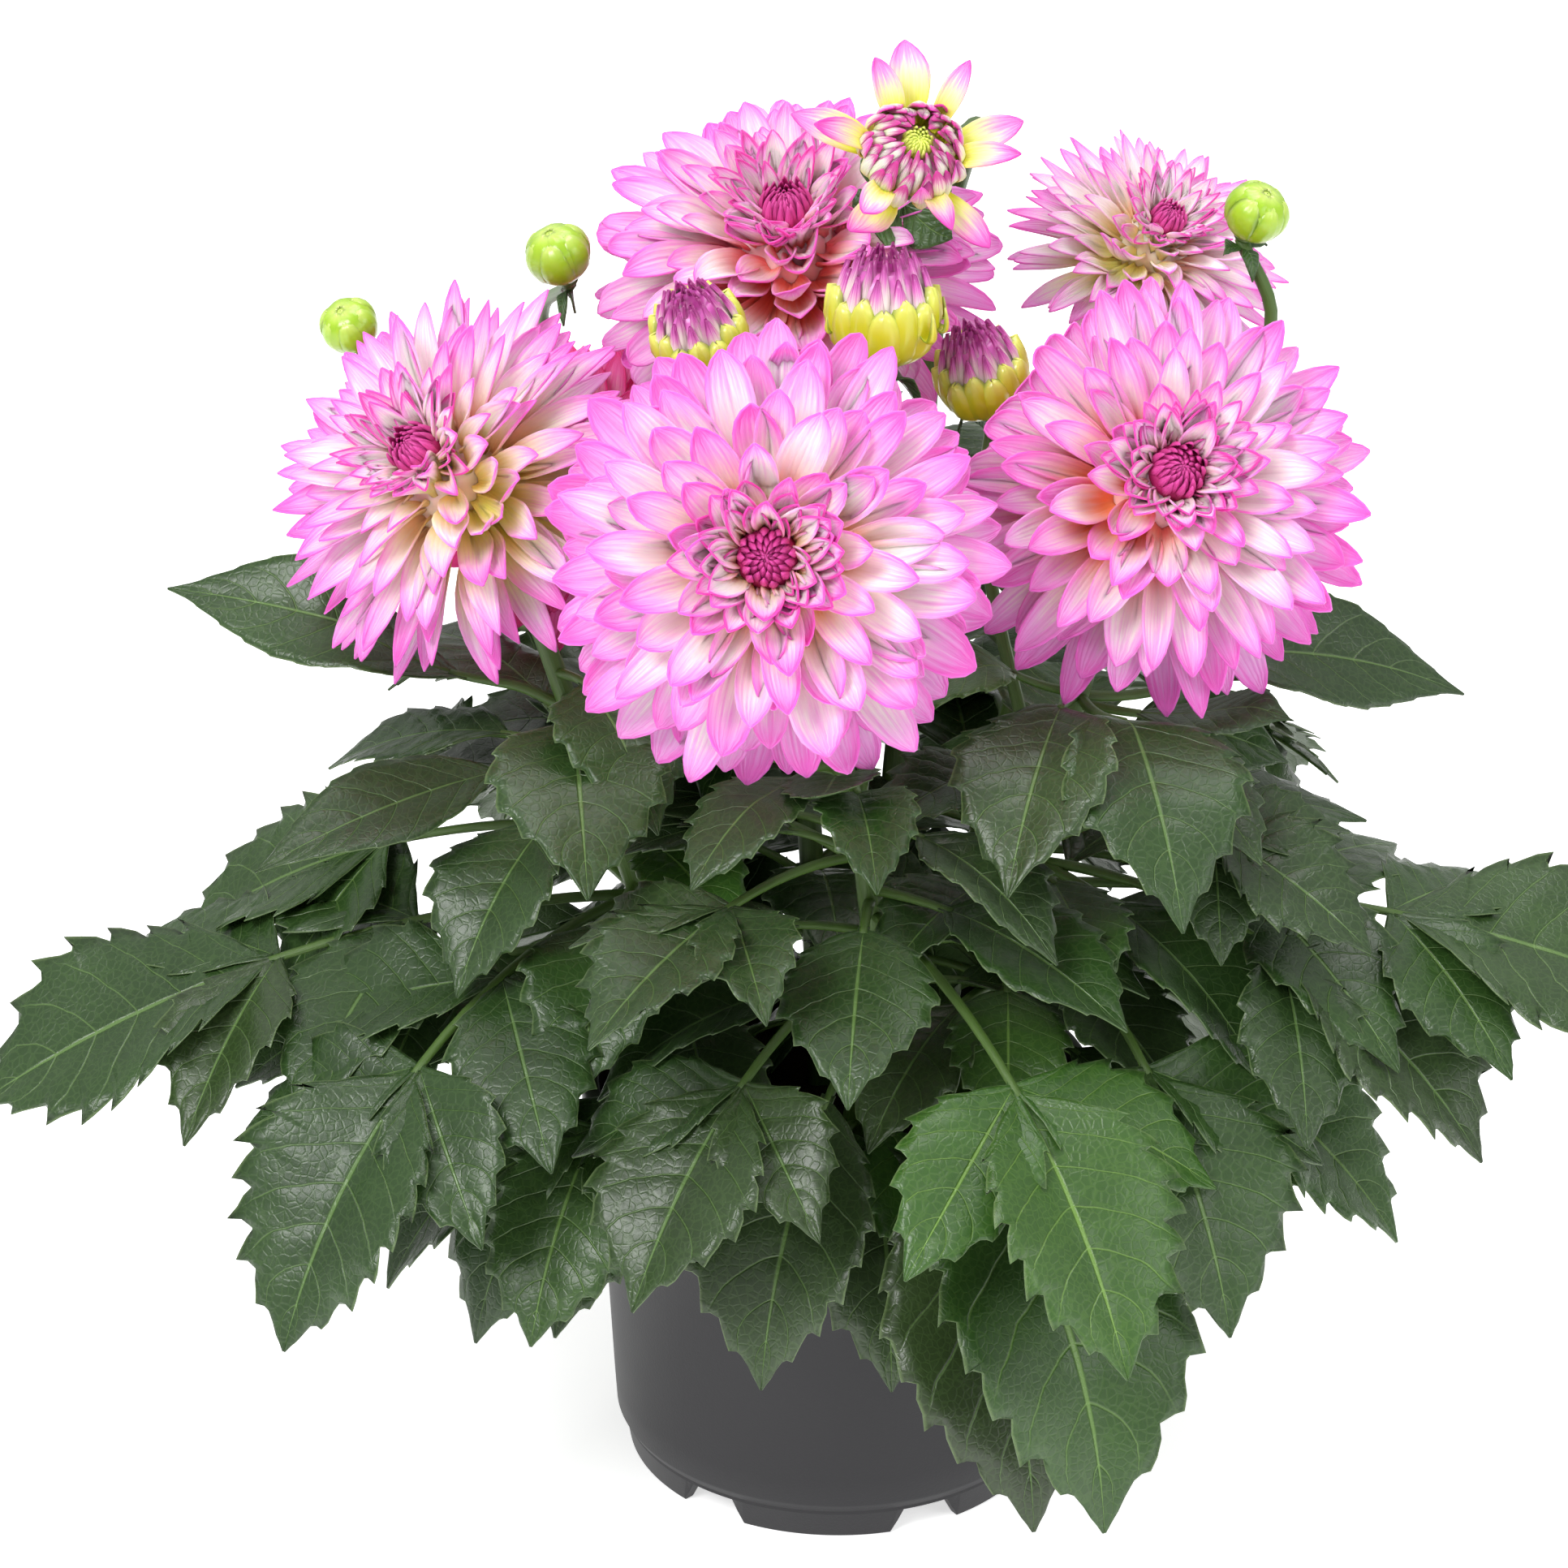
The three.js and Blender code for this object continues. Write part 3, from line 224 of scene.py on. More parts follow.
class Skin:
    # a material whose nodes are made by short calls, each of which hands back a socket;
    # its colours are screen colours
    def __init__(self, name, roughness, specular=0.5, coat=0.0, glow=0.0):
        self.material = bpy.data.materials.new(name)
        self.material.use_nodes = True
        self.tree = self.material.node_tree
        self.inputs = self.tree.nodes["Principled BSDF"].inputs
        for key, value in (("Roughness", roughness), ("Specular IOR Level", specular),
                           ("Coat Weight", coat), ("Coat Roughness", 0.2),
                           ("Subsurface Weight", glow), ("Subsurface Scale", 3 * mm),
                           ("Subsurface Radius", (1.0, 0.6, 0.8))):
            self.inputs[key].default_value = value

    def put(self, value, socket):
        if isinstance(value, bpy.types.NodeSocket):
            self.tree.links.new(value, socket)
        else:
            socket.default_value = tint(*value) if isinstance(value, tuple) else value

    def node(self, kind, *values, **settings):
        made = self.tree.nodes.new("ShaderNode" + kind)
        for key, value in settings.items():
            setattr(made, key, value)
        for value, socket in zip(values, made.inputs):
            self.put(value, socket)
        return made.outputs

    def sum(self, way, *values):
        return self.node("Math", *values, operation=way)[0]

    def times(self, a, b):
        return self.sum("MULTIPLY", a, b)

    def plus(self, a, b):
        return self.sum("ADD", a, b)

    def less(self, a, b):
        return self.sum("SUBTRACT", a, b)

    def timesPlus(self, a, b, c):
        return self.sum("MULTIPLY_ADD", a, b, c)

    def fade(self, value, low, high):
        # 0 below low, 1 above high, eased between
        return self.node("MapRange", value, low, high, interpolation_type="SMOOTHSTEP")[0]

    def blend(self, share, a, b):
        made = self.tree.nodes.new("ShaderNodeMix")
        made.data_type = "RGBA"
        for value, place in ((share, 0), (a, 6), (b, 7)):
            self.put(value, made.inputs[place])
        return made.outputs[2]

    def coats(self, colour, *coats):
        # coats of a share and a colour, one over the other
        for share, coat in coats:
            colour = self.blend(share, colour, coat)
        return colour

    def marks(self, key):
        found = self.node("Attribute", attribute_name=key)["Vector"]
        return self.node("SeparateXYZ", found)[:3]

    def join(self, x, y, z):
        return self.node("CombineXYZ", x, y, z)[0]

    def where(self):
        return self.node("TexCoord")["Object"]

    def noise(self, where, scale, detail=3.0, rough=0.5):
        return self.node("TexNoise", where, 0.0, scale, detail, rough)[0]

    def cells(self, where, scale):
        return self.node("TexVoronoi", where, 0.0, scale, feature="DISTANCE_TO_EDGE")[0]

    def colour(self, value):
        self.put(value, self.inputs["Base Color"])

    def bump(self, height, strength, distance):
        made = self.tree.nodes.new("ShaderNodeBump")
        made.inputs["Strength"].default_value = strength
        made.inputs["Distance"].default_value = distance
        self.put(height, made.inputs["Height"])
        self.put(made.outputs[0], self.inputs["Normal"])


studio = {
    "cameraAt": (-0.016, -1.096, 0.688),
    "lookDownDeg": 23.4,
    "lens": 95.26,
    "floorSide": 8.0,
    "floorGlow": 0.62,
    "worldLight": 0.64,
    "lamps": {  # place, size, watts
        "softboxLeft": ((-0.9, -1.3, 1.7), 0.8, 32),
        "softboxRight": ((1.3, -0.9, 1.0), 0.8, 6),
        "softboxTop": ((0.1, 0.3, 1.9), 1.0, 15),
    },
    "aim": (0, 0, 0.25),
}


def makeStudio():
    lens = bpy.data.cameras.new("camera")
    camera = bpy.data.objects.new("camera", lens)
    lens.sensor_width = 36
    lens.lens = studio["lens"]
    lens.clip_start = 0.05
    lens.clip_end = 30
    camera.location = studio["cameraAt"]
    camera.rotation_euler = (math.radians(90 - studio["lookDownDeg"]), 0, 0)
    bpy.context.scene.collection.objects.link(camera)
    bpy.context.scene.camera = camera

    world = bpy.data.worlds.new("studio")
    bpy.context.scene.world = world
    world.use_nodes = True
    back = world.node_tree.nodes["Background"]
    back.inputs["Color"].default_value = (1, 1, 1, 1)
    back.inputs["Strength"].default_value = studio["worldLight"]
    bpy.context.scene.view_settings.view_transform = "Standard"

    for name, (at, size, watts) in studio["lamps"].items():
        lamp = bpy.data.lights.new(name, "AREA")
        lamp.energy = watts
        lamp.size = size
        holder = bpy.data.objects.new(name, lamp)
        holder.location = at
        toward = camera.location.copy()
        toward.x, toward.y, toward.z = (studio["aim"][k] - at[k] for k in range(3))
        holder.rotation_euler = toward.to_track_quat("-Z", "Y").to_euler()
        bpy.context.scene.collection.objects.link(holder)

    half = studio["floorSide"] / 2
    paper = bpy.data.meshes.new("floor")
    paper.from_pydata([(-half, -half, 0), (half, -half, 0), (half, half, 0), (-half, half, 0)],
                      [], [(0, 1, 2, 3)])
    floor = bpy.data.objects.new("floor", paper)
    bpy.context.scene.collection.objects.link(floor)
    skin = Skin("palePaper", 0.9, 0.1)
    skin.inputs["Emission Color"].default_value = (1, 1, 1, 1)
    skin.inputs["Emission Strength"].default_value = studio["floorGlow"]
    grain = skin.noise(skin.where(), 6, 2)
    skin.colour(skin.blend(grain, (243, 243, 243), (247, 247, 247)))
    paper.materials.append(skin.material)
    floor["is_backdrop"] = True


makeStudio()
print("studio ready")

# Places as in the solids, in millimetres: the middle, the way it faces and the radius
blooms = {
    "front": {"at": (-19, -75, 311), "face": (-0.05, -0.94, 0.34), "radius": 63},
    "left": {"at": (-104, -10, 308), "face": (-0.48, -0.62, 0.62), "radius": 59},
    "right": {"at": (86, -20, 309), "face": (0.14, -0.83, 0.54), "radius": 62},
    "top": {"at": (-14, 50, 351), "face": (-0.06, -0.5, 0.86), "radius": 62},
    "back_right": {"at": (88, 66, 350), "face": (0.3, -0.5, 0.8), "radius": 43},
    "back_left": {"at": (-69, 54, 284), "face": (-0.2, -0.68, 0.7), "radius": 50},
    "opening": {"at": (18, 6, 395), "face": (0.12, -0.8, 0.58), "radius": 34},
}
buds = {
    "bud_1": {"at": (-140, 42, 338), "face": (-0.3, -0.5, 0.8), "radius": 7.5, "open": False,
              "stem": "left", "from": 262, "bend": (-134, 44, 312)},
    "bud_2": {"at": (-80, 42, 359), "face": (-0.3, -0.3, 0.9), "radius": 8.5, "open": False,
              "stem": "back_left", "from": 228, "bend": (-88, 100, 318)},
    "bud_3": {"at": (-39, -14, 353), "face": (-0.2, -0.5, 0.84), "radius": 11.5, "open": True,
              "stem": "front", "from": 240, "bend": (-26, -22, 300)},
    "bud_4": {"at": (11, -16, 359), "face": (0, -0.15, 0.99), "radius": 13.5, "open": True,
              "stem": "front", "from": 225, "bend": (14, -26, 300)},
    "bud_5": {"at": (39, 6, 335), "face": (-0.25, -0.35, 0.9), "radius": 11.5, "open": True,
              "stem": "right", "from": 215, "bend": (40, 2, 292)},
    "bud_6": {"at": (116, 32, 374), "face": (0.35, -0.4, 0.85), "radius": 8.2, "open": False,
              "stem": "back_right", "from": 250, "bend": (122, 36, 339)},
}
spacing = {"budRoom": 1.3, "bendRoom": 4 * mm, "clearance": 5 * mm, "gap": 0.35 * mm}


def findHeads():
    found = {}
    for name, row in blooms.items():
        found[name] = (np.array(row["at"]) * mm, row["radius"] * mm, False)
    for name, row in buds.items():
        found[name] = (np.array(row["at"]) * mm, row["radius"] * mm * spacing["budRoom"], True)
        found[name + "_bend"] = (np.array(row["bend"]) * mm, spacing["bendRoom"], True)
    return found


heads = findHeads()


def soften(d):
    reach = spacing["clearance"]
    return np.where(d < reach, reach * np.exp((np.minimum(d, reach) - reach) / reach), d)


def pressed(points, name):
    # petals stay on their own side of the planes between a bloom and its neighbours
    ownAt, ownRadius, _ = heads[name]
    for other, (at, radius, stiff) in heads.items():
        away = ownAt - at
        apart = np.linalg.norm(away)
        if other == name or apart > ownRadius + radius + spacing["clearance"]:
            continue
        away = away / apart
        share = 1 if stiff else apart / (ownRadius + radius)
        d = (points - at) @ away - share * radius - spacing["gap"]
        points = points + (soften(d) - d)[..., None] * away
    return points


def outOfBlooms(points):
    for at, radius, _ in heads.values():
        out = points - at
        far = np.linalg.norm(out, axis=-1, keepdims=True)
        d = far[..., 0] - radius - spacing["gap"]
        points = points + out / far * (soften(d) - d)[..., None]
    return points


petals = {
    # rings from the back to the eye, as shares of the radius; a petal's line bends through
    # a point that lies arch degrees above its tip at the share archAt of its reach
    "rings": [
        {"rise": -14, "reach": 1.0, "count": 13, "half": 0.135, "root": -0.06, "core": 0.25},
        {"rise": 3, "reach": 0.98, "count": 13, "half": 0.135, "root": 0.03, "core": 0.27},
        {"rise": 21, "reach": 0.92, "count": 12, "half": 0.13, "root": 0.13, "core": 0.27},
        {"rise": 41, "reach": 0.83, "count": 9, "half": 0.125, "root": 0.25, "core": 0.23},
        {"rise": 63, "reach": 0.72, "count": 7, "half": 0.1, "root": 0.36, "core": 0.17},
    ],
    # small cupped petals round the eye
    "innerRings": [
        {"rise": 63, "reach": 0.7, "count": 10, "half": 0.09, "root": 0.37, "core": 0.17},
        {"rise": 66, "reach": 0.64, "count": 9, "half": 0.085, "root": 0.39, "core": 0.155},
        {"rise": 68, "reach": 0.57, "count": 8, "half": 0.07, "root": 0.4, "core": 0.145},
    ],
    "between": (0.34, 0.67),
    "openingRings": [
        {"rise": 8, "reach": 1.0, "count": 5, "half": 0.16, "root": -0.04, "core": 0.24},
        {"rise": 30, "reach": 0.92, "count": 6, "half": 0.13, "root": 0.06, "core": 0.26},
        {"rise": 52, "reach": 0.8, "count": 7, "half": 0.1, "root": 0.19, "core": 0.22},
        {"rise": 70, "reach": 0.74, "count": 7, "half": 0.08, "root": 0.33, "core": 0.2},
    ],
    # the opening bloom's inner petals still close up in a ball, and so do the solids' own
    # petals from one number to another, whose reach, arch and archAt are changed
    "closed": {"from": 11, "to": 25, "reach": 0.72, "arch": -40, "archAt": 0.9},
    "ballRings": [
        {"rise": 52, "reach": 0.56, "count": 13, "half": 0.085, "root": -0.02, "core": 0.27,
         "arch": -42, "archAt": 0.96},
        {"rise": 62, "reach": 0.56, "count": 15, "half": 0.075, "root": 0.04, "core": 0.26,
         "arch": -42, "archAt": 0.94},
        {"rise": 70, "reach": 0.57, "count": 15, "half": 0.06, "root": 0.1, "core": 0.25,
         "arch": -42, "archAt": 0.9},
        {"rise": 77, "reach": 0.58, "count": 13, "half": 0.05, "root": 0.16, "core": 0.22,
         "arch": -38, "archAt": 0.86},
    ],
    "arch": 12,
    "archAt": 0.62,
    "sinkWidth": 0.2, "sinkFrom": (0.05, 0.35),
    "thickness": 0.5 * mm,
    "steps": 11,
    "even": 1.35,  # the rows lie closer together towards the tip
    # the most that a petal curls, leans, twists, waves and varies, and its crease
    "curl": 0.13, "lean": 0.14, "twist": 0.6, "wave": 0.09, "vary": 0.32, "crease": 0.1,
    "across": (-1, -0.82, -0.42, 0, 0.42, 0.82, 1),
    # half width along a petal: rounded, and pointed
    "round": [(0, 0.4), (0.15, 0.5), (0.4, 0.8), (0.6, 0.97), (0.76, 1.0), (0.87, 0.86),
              (0.94, 0.6), (0.98, 0.28), (1, 0.06)],
    "point": [(0, 0.42), (0.15, 0.52), (0.38, 0.88), (0.56, 1.0), (0.72, 0.84), (0.86, 0.5),
              (0.95, 0.2), (1, 0.02)],
    "core": [(0.01, -0.13), (0.2, -0.12), (0.25, -0.03), (0.265, 0.1), (0.24, 0.22),
             (0.18, 0.34), (0.13, 0.39), (0.01, 0.4)],
}
# The look of each bloom: how pointed, wide and cupped its petals are, how pink, the colour
# of its depths, the seed of its draws, and a hollow beside the eye, which lies as shares of
# the radius to the right and up, with how deep it sinks and how wide its colour spreads
bloomLooks = {
    "front": {"point": 0.14, "wide": 0.82, "cup": 0.56, "pink": 0.14, "hollow": (0.05, -0.05, 0.02),
              "hollowSize": 0.42, "deep": (255, 186, 90), "seed": 11},
    "left": {"point": 0.7, "wide": 0.64, "cup": 0.54, "pink": 0.16, "hollow": (0.4, -0.16, 0.16),
             "hollowSize": 0.5, "deep": (255, 232, 110), "seed": 12},
    "right": {"point": 0.4, "wide": 0.76, "cup": 0.54, "pink": 0.16,
              "hollow": (-0.34, -0.14, 0.15), "hollowSize": 0.44, "deep": (255, 136, 76),
              "seed": 13},
    "top": {"point": 0.35, "wide": 0.76, "cup": 0.5, "pink": 0.12, "hollow": (0.05, -0.4, 0.15),
            "hollowSize": 0.5, "deep": (255, 118, 92), "seed": 14},
    "back_right": {"point": 0.75, "wide": 0.64, "cup": 0.5, "pink": 0.0,
                   "hollow": (-0.36, -0.12, 0.14), "hollowSize": 0.42,
                   "deep": (255, 238, 130), "seed": 15},
    # the back_left bloom's extra pink and dark pink depths are painted shade, as it stands in shade
    # behind the others
    "back_left": {"point": 0.5, "wide": 0.8, "cup": 0.46, "pink": 0.35, "hollow": (0, 0, 0),
                  "hollowSize": 0.25, "deep": (224, 70, 110), "seed": 16},
    "opening": {"point": 0.6, "wide": 1.0, "cup": 0.4, "pink": 0.2, "hollow": (0, 0, 0),
                "hollowSize": 9, "deep": (226, 228, 44), "seed": 31},
}
# the foot colour at each petal's base is partly the petals' own pink and partly painted shade of the
# depths between petals
petalColours = {
    "usual": {"cream": ((254, 244, 236), (252, 222, 234)), "rose": (246, 162, 224),
              "deepRose": (236, 98, 190), "rim": (206, 36, 134), "rimFrom": 1.15,
              "foot": (252, 130, 164)},
    # the back_left colours are darker copies of the usual ones: painted shade for a bloom that stands
    # in shade behind the others
    "back_left": {"cream": ((246, 170, 190), (240, 140, 180)),
                  "rose": (234, 100, 164), "deepRose": (210, 46, 118),
                  "rim": (190, 30, 100), "rimFrom": 1.0,
                  "foot": (226, 60, 110)},
    "opening": {"cream": ((247, 241, 206), (248, 230, 228)), "rose": (240, 142, 206),
                "deepRose": (218, 66, 164), "rim": (172, 26, 112), "rimFrom": 0.8,
                "foot": (232, 232, 80)},
}


def listPetals(rings, more, seed, between):
    # the solids' own petals, petals at shares of the way to the next ring, and inner rings
    draw = drawsFrom(seed)
    extra = drawsFrom(seed + 100)
    rows = []

    def addRow(ring, spin, rise, far, tone):
        rows.append((spin, rise, far, ring["half"], ring["root"], ring["core"], tone,
                     ring.get("arch", petals["arch"]), ring.get("archAt", petals["archAt"])))

    last = len(rings) - 1
    for k, ring in enumerate(rings):
        step = fullTurn / ring["count"]
        turn = 0.3 + k * math.pi / ring["count"]
        for i in range(ring["count"]):
            spin = turn + (i + 0.14 * (next(draw) - 0.5)) * step
            far = ring["reach"] * (0.94 + 0.1 * next(draw))
            addRow(ring, spin, ring["rise"], far, k / (last + 1))
        following = rings[min(k + 1, last)]
        for share in between:
            mid = {key: ring[key] + (following[key] - ring[key]) * share for key in ring}
            for i in range(ring["count"]):
                spin = turn + (i + share + 0.3 * (next(extra) - 0.5)) * step
                far = mid["reach"] * (0.86 + 0.15 * next(extra))
                rise = mid["rise"] + 14 * (next(extra) - 0.5)
                addRow(mid, spin, rise, far, (k + share) / (last + 1))
    for k, ring in enumerate(more):
        step = fullTurn / ring["count"]
        for i in range(ring["count"]):
            spin = (i + 0.5 * k + 0.3 * (next(extra) - 0.5)) * step
            far = ring["reach"] * (0.95 + 0.1 * next(extra))
            addRow(ring, spin, ring["rise"] + 5 * (next(extra) - 0.5), far, 1.0)
    return np.array(rows)


def hollowed(points, at, axes, radius, look):
    # petals sink towards the hollow beside the eye; hands back how near each point is to it
    forward, up, right = axes
    x, y, z = ((points - at) @ way / radius for way in (right, up, forward))
    hollowX, hollowY, sink = look["hollow"]
    away = (x - hollowX) ** 2 + (y - hollowY) ** 2
    near = np.exp(-away / look["hollowSize"] ** 2)
    push = sink * np.exp(-away / petals["sinkWidth"] ** 2) * ease(z, *petals["sinkFrom"])
    return points - forward * (radius * push)[..., None], near


def growPetals(heap, name, axes, rows, look, draws):
    forward = axes[0]
    at, radius, _ = heads[name]
    spin, rise, far, half, root, core, tone, arch, archAt = rows.T
    count = len(rows)
    t = 1 - (1 - np.linspace(0, 1, petals["steps"])) ** petals["even"]
    w = np.array(petals["across"], float)
    out = waysRound(spin, axes)
    across = np.cross(forward, out)

    def ray(deg, share):
        a = np.radians(deg)[:, None]
        return at + radius * share[:, None] * (out * np.cos(a) + forward * np.sin(a))

    start = at + radius * (out * core[:, None] + forward * root[:, None])
    bend = ray(rise + arch, far * archAt)
    end = ray(rise, far)
    s = t[None, :, None]
    middle = ((1 - s) ** 2 * start[:, None] + 2 * s * (1 - s) * bend[:, None]
              + s ** 2 * end[:, None])
    ahead = unit(2 * (1 - s) * (bend - start)[:, None] + 2 * s * (end - bend)[:, None])
    normal = unit(np.cross(ahead, across[:, None]))
    curl = (draws.random(count) - 0.35) * petals["curl"] * radius * far
    lean = (draws.random(count) - 0.5) * petals["lean"] * radius * far
    middle = (middle + normal * (curl[:, None] * t ** 4)[..., None]
              + across[:, None] * (lean[:, None] * t ** 2)[..., None])
    share = np.clip(look["point"] + 0.4 * (draws.random(count) - 0.5), 0, 1)[:, None]
    shape = (curveThrough(petals["round"], t, 3) * (1 - share)
             + curveThrough(petals["point"], t, 5) * share)
    size = half * look["wide"] * (0.82 + petals["vary"] * draws.random(count))
    cup = look["cup"] * (1 - 0.45 * ease(t, 0.1, 0.9))[None] * (1 + 0.9 * tone[:, None])
    cup = (cup * (0.7 + 0.6 * draws.random(count))[:, None])[..., None]
    twist = (draws.random(count) - 0.5) * petals["twist"]
    wave = petals["wave"] * np.sin(8 * t[None] + 6.3 * draws.random(count)[:, None])
    crease = petals["crease"] * np.exp(-(w / 0.3) ** 2) * (1 - t[None, :, None] ** 3)
    lift = (cup * (w ** 2 - 0.4) + wave[..., None] * (w ** 3 * np.abs(w))
            + (twist[:, None] * t ** 2)[..., None] * w - crease)
    points = ribbonPoints(middle, across, normal, radius * size[:, None] * shape,
                          w * (1 - 0.16 * cup * np.abs(w)), lift)
    points, near = hollowed(points, at, axes, radius, look)
    points = pressed(points, name)
    facing = unit(np.cross(np.gradient(points, axis=1), np.gradient(points, axis=2))
                  + 1e-12 * normal[:, :, None])
    place = stack3(t[None, :, None], w[None, None], tone[:, None, None])
    trait = stack3(draws.random(count)[:, None, None], near, 1.0)
    addSheets(heap, points, facing, petals["thickness"], place, trait, 0)


def makePetalSkin(name, look):
    skin = Skin("petalSkin_" + name, 0.5, 0.3, glow=0.7)
    colours = petalColours.get(name, petalColours["usual"])
    t, w, tone = skin.marks("place")
    draw, near, _ = skin.marks("trait")
    edge = skin.sum("ABSOLUTE", w)
    streakPlace = skin.join(skin.timesPlus(w, 3.2, skin.times(draw, 37)),
                            skin.times(t, 0.9), draw)
    spread = skin.less(skin.noise(streakPlace, 2.4, 4, 0.6), 0.5)
    # pink grows towards the tip, and along the edge in a line that is thin near the eye
    pink = skin.times(t, skin.timesPlus(tone, -0.7, 1.3))
    pink = skin.timesPlus(skin.sum("POWER", edge, 4.0), skin.timesPlus(tone, 0.3, 0.32), pink)
    pink = skin.timesPlus(skin.sum("POWER", t, 8.0), skin.timesPlus(tone, 0.6, 0.2), pink)
    pink = skin.timesPlus(spread, 1.35, pink)
    pink = skin.plus(skin.timesPlus(draw, 0.4, pink), look["pink"] - 0.18)
    cream = skin.blend(skin.plus(spread, 0.5), *colours["cream"])
    rose = skin.blend(skin.fade(pink, 1.15, 1.75), colours["rose"], colours["deepRose"])
    # the pink foot near each petal's base: partly the petals' own pink, partly painted shade of the
    # depths between petals
    foot = skin.less(1, skin.fade(skin.timesPlus(spread, 0.3, t), 0.1, 0.52))
    # towards the eye the rims are deeper pink
    rim = skin.times(skin.fade(tone, 0.5, 1.0),
                     skin.fade(pink, colours["rimFrom"], colours["rimFrom"] + 0.45))
    # the depths beside the eye are yellow in some blooms and orange in others; in the back_left bloom
    # they are dark pink, which is painted shade
    low = skin.less(1, skin.fade(skin.timesPlus(spread, 0.3, t), 0.2, 0.9))
    skin.colour(skin.coats(cream, (skin.fade(pink, 0.62, 1.3), rose),
                           (skin.times(foot, 0.85), colours["foot"]),
                           (skin.times(rim, 0.7), colours["rim"]),
                           (skin.times(low, near), look["deep"])))
    veins = skin.sum("SINE", skin.timesPlus(w, 24, skin.times(spread, 6)))
    grain = skin.noise(skin.where(), 900, 2)
    skin.bump(skin.timesPlus(grain, 0.25, skin.times(veins, 0.5)), 0.35, 0.4 * mm)
    return skin


def makeBlooms():
    for name, row in blooms.items():
        axes = axesOf(row["face"])
        look = bloomLooks[name]
        opening = name == "opening"
        rings = petals["openingRings" if opening else "rings"]
        more = petals["ballRings" if opening else "innerRings"]
        rows = listPetals(rings, more, look["seed"], () if opening else petals["between"])
        if opening:
            closed = petals["closed"]
            inner = rows[closed["from"]:closed["to"]]
            inner[:, 2] *= closed["reach"]
            inner[:, 7:9] = closed["arch"], closed["archAt"]
        heap = newHeap()
        growPetals(heap, name, axes, rows, look, np.random.default_rng(look["seed"]))
        addTurned(heap, heads[name][0], axes, heads[name][1], petals["core"],
                  (0.5, 0.6, 1), 0, tone=0.7)
        finishPiece("petals_" + name, heap, [makePetalSkin(name, look)], "petals",
                    "bloom_" + name)
        print("petals of", name)


makeBlooms()

eyes = {
    "seat": 0.4, "spread": 0.115, "florets": 80, "golden": 2.39996, "half": 0.021,
    "widths": np.array([0.8, 1.0, 1.0, 0.8, 0.5, 0.06]), "across": np.linspace(-1, 1, 5),
    "gap": 0.65 * mm, "thickness": 0.5 * mm,
    # a floret's height, and what its rank and a draw add; its lean from and by; its hook
    "tall": (0.07, 0.07, 0.02), "leanDeg": (-34, 50), "hook": 0.35, "sink": 0.02,
    "dome": [(0.01, -0.01), (0.12, -0.01), (0.13, 0.0), (0.11, 0.035), (0.06, 0.055),
             (0.003, 0.06)],
    # low, middle and tip
    "colours": {"magentaFlorets": ((92, 12, 44), (176, 34, 108), (220, 80, 164)),
                "greenFlorets": ((150, 176, 30), (216, 232, 70), (240, 248, 130))},
}


def makeEyeSkin(name):
    low, middle, high = eyes["colours"][name]
    skin = Skin(name, 0.45, 0.4, glow=0.1)
    t, w, rank = skin.marks("place")
    draw, _, _ = skin.marks("trait")
    spots = skin.noise(skin.where(), 500, 3)
    place = skin.timesPlus(skin.less(spots, 0.5), 0.3, skin.plus(t, skin.times(rank, 0.45)))
    skin.colour(skin.coats(low, (skin.fade(place, 0.1, 0.6), middle),
                           (skin.fade(place, 0.6, 1.0), high), (skin.times(draw, 0.3), low)))
    ribs = skin.sum("SINE", skin.times(w, 12))
    skin.bump(skin.plus(ribs, spots), 0.3, 0.3 * mm)
    return skin


def makeEyes():
    skins = {name: makeEyeSkin(name) for name in eyes["colours"]}
    count = eyes["florets"]
    rank = (np.arange(count) + 0.5) / count
    w = eyes["across"]
    t = np.linspace(0, 1, len(eyes["widths"]))
    for name, row in blooms.items():
        opening = name == "opening"
        axes = axesOf(row["face"])
        forward = axes[0]
        at, radius, _ = heads[name]
        seat = at + forward * (radius * eyes["seat"] + eyes["gap"])
        draws = np.random.default_rng(50 + bloomLooks[name]["seed"])
        heap = newHeap()
        out = waysRound(np.arange(count) * eyes["golden"], axes)
        across = np.cross(forward, out)
        away = radius * eyes["spread"] * np.sqrt(rank)
        base = (seat + out * away[:, None]
                - forward * (eyes["sink"] * radius * rank ** 2)[:, None])
        tall = radius * np.dot(eyes["tall"], [np.ones(count), rank, draws.random(count)])
        lean = np.radians(eyes["leanDeg"][0] + eyes["leanDeg"][1] * rank)
        bow = out * np.sin(lean)[:, None] + forward * np.cos(lean)[:, None]
        middle = (base[:, None] + bow[:, None] * (tall[:, None] * t)[..., None]
                  - out[:, None] * (eyes["hook"] * tall[:, None] * t ** 2)[..., None])
        normal = unit(np.cross(np.gradient(middle, axis=1), across[:, None]))
        points = ribbonPoints(middle, across, normal, radius * eyes["half"] * eyes["widths"], w,
                              0.7 * (w ** 2 - 0.4))
        place = stack3(t[None, :, None], w[None, None], rank[:, None, None])
        trait = stack3(draws.random(count)[:, None, None], 0, 1)
        addSheets(heap, points, normal[:, :, None], eyes["thickness"], place, trait, 0)
        addTurned(heap, seat, axes, radius, eyes["dome"], (0.8, 0, 1), 0)
        skin = skins["greenFlorets" if opening else "magentaFlorets"]
        finishPiece("florets_" + name, heap, [skin], "opening_eye" if opening else "bloom_eye",
                    "eye_" + name)


makeEyes()
print("eyes ready")

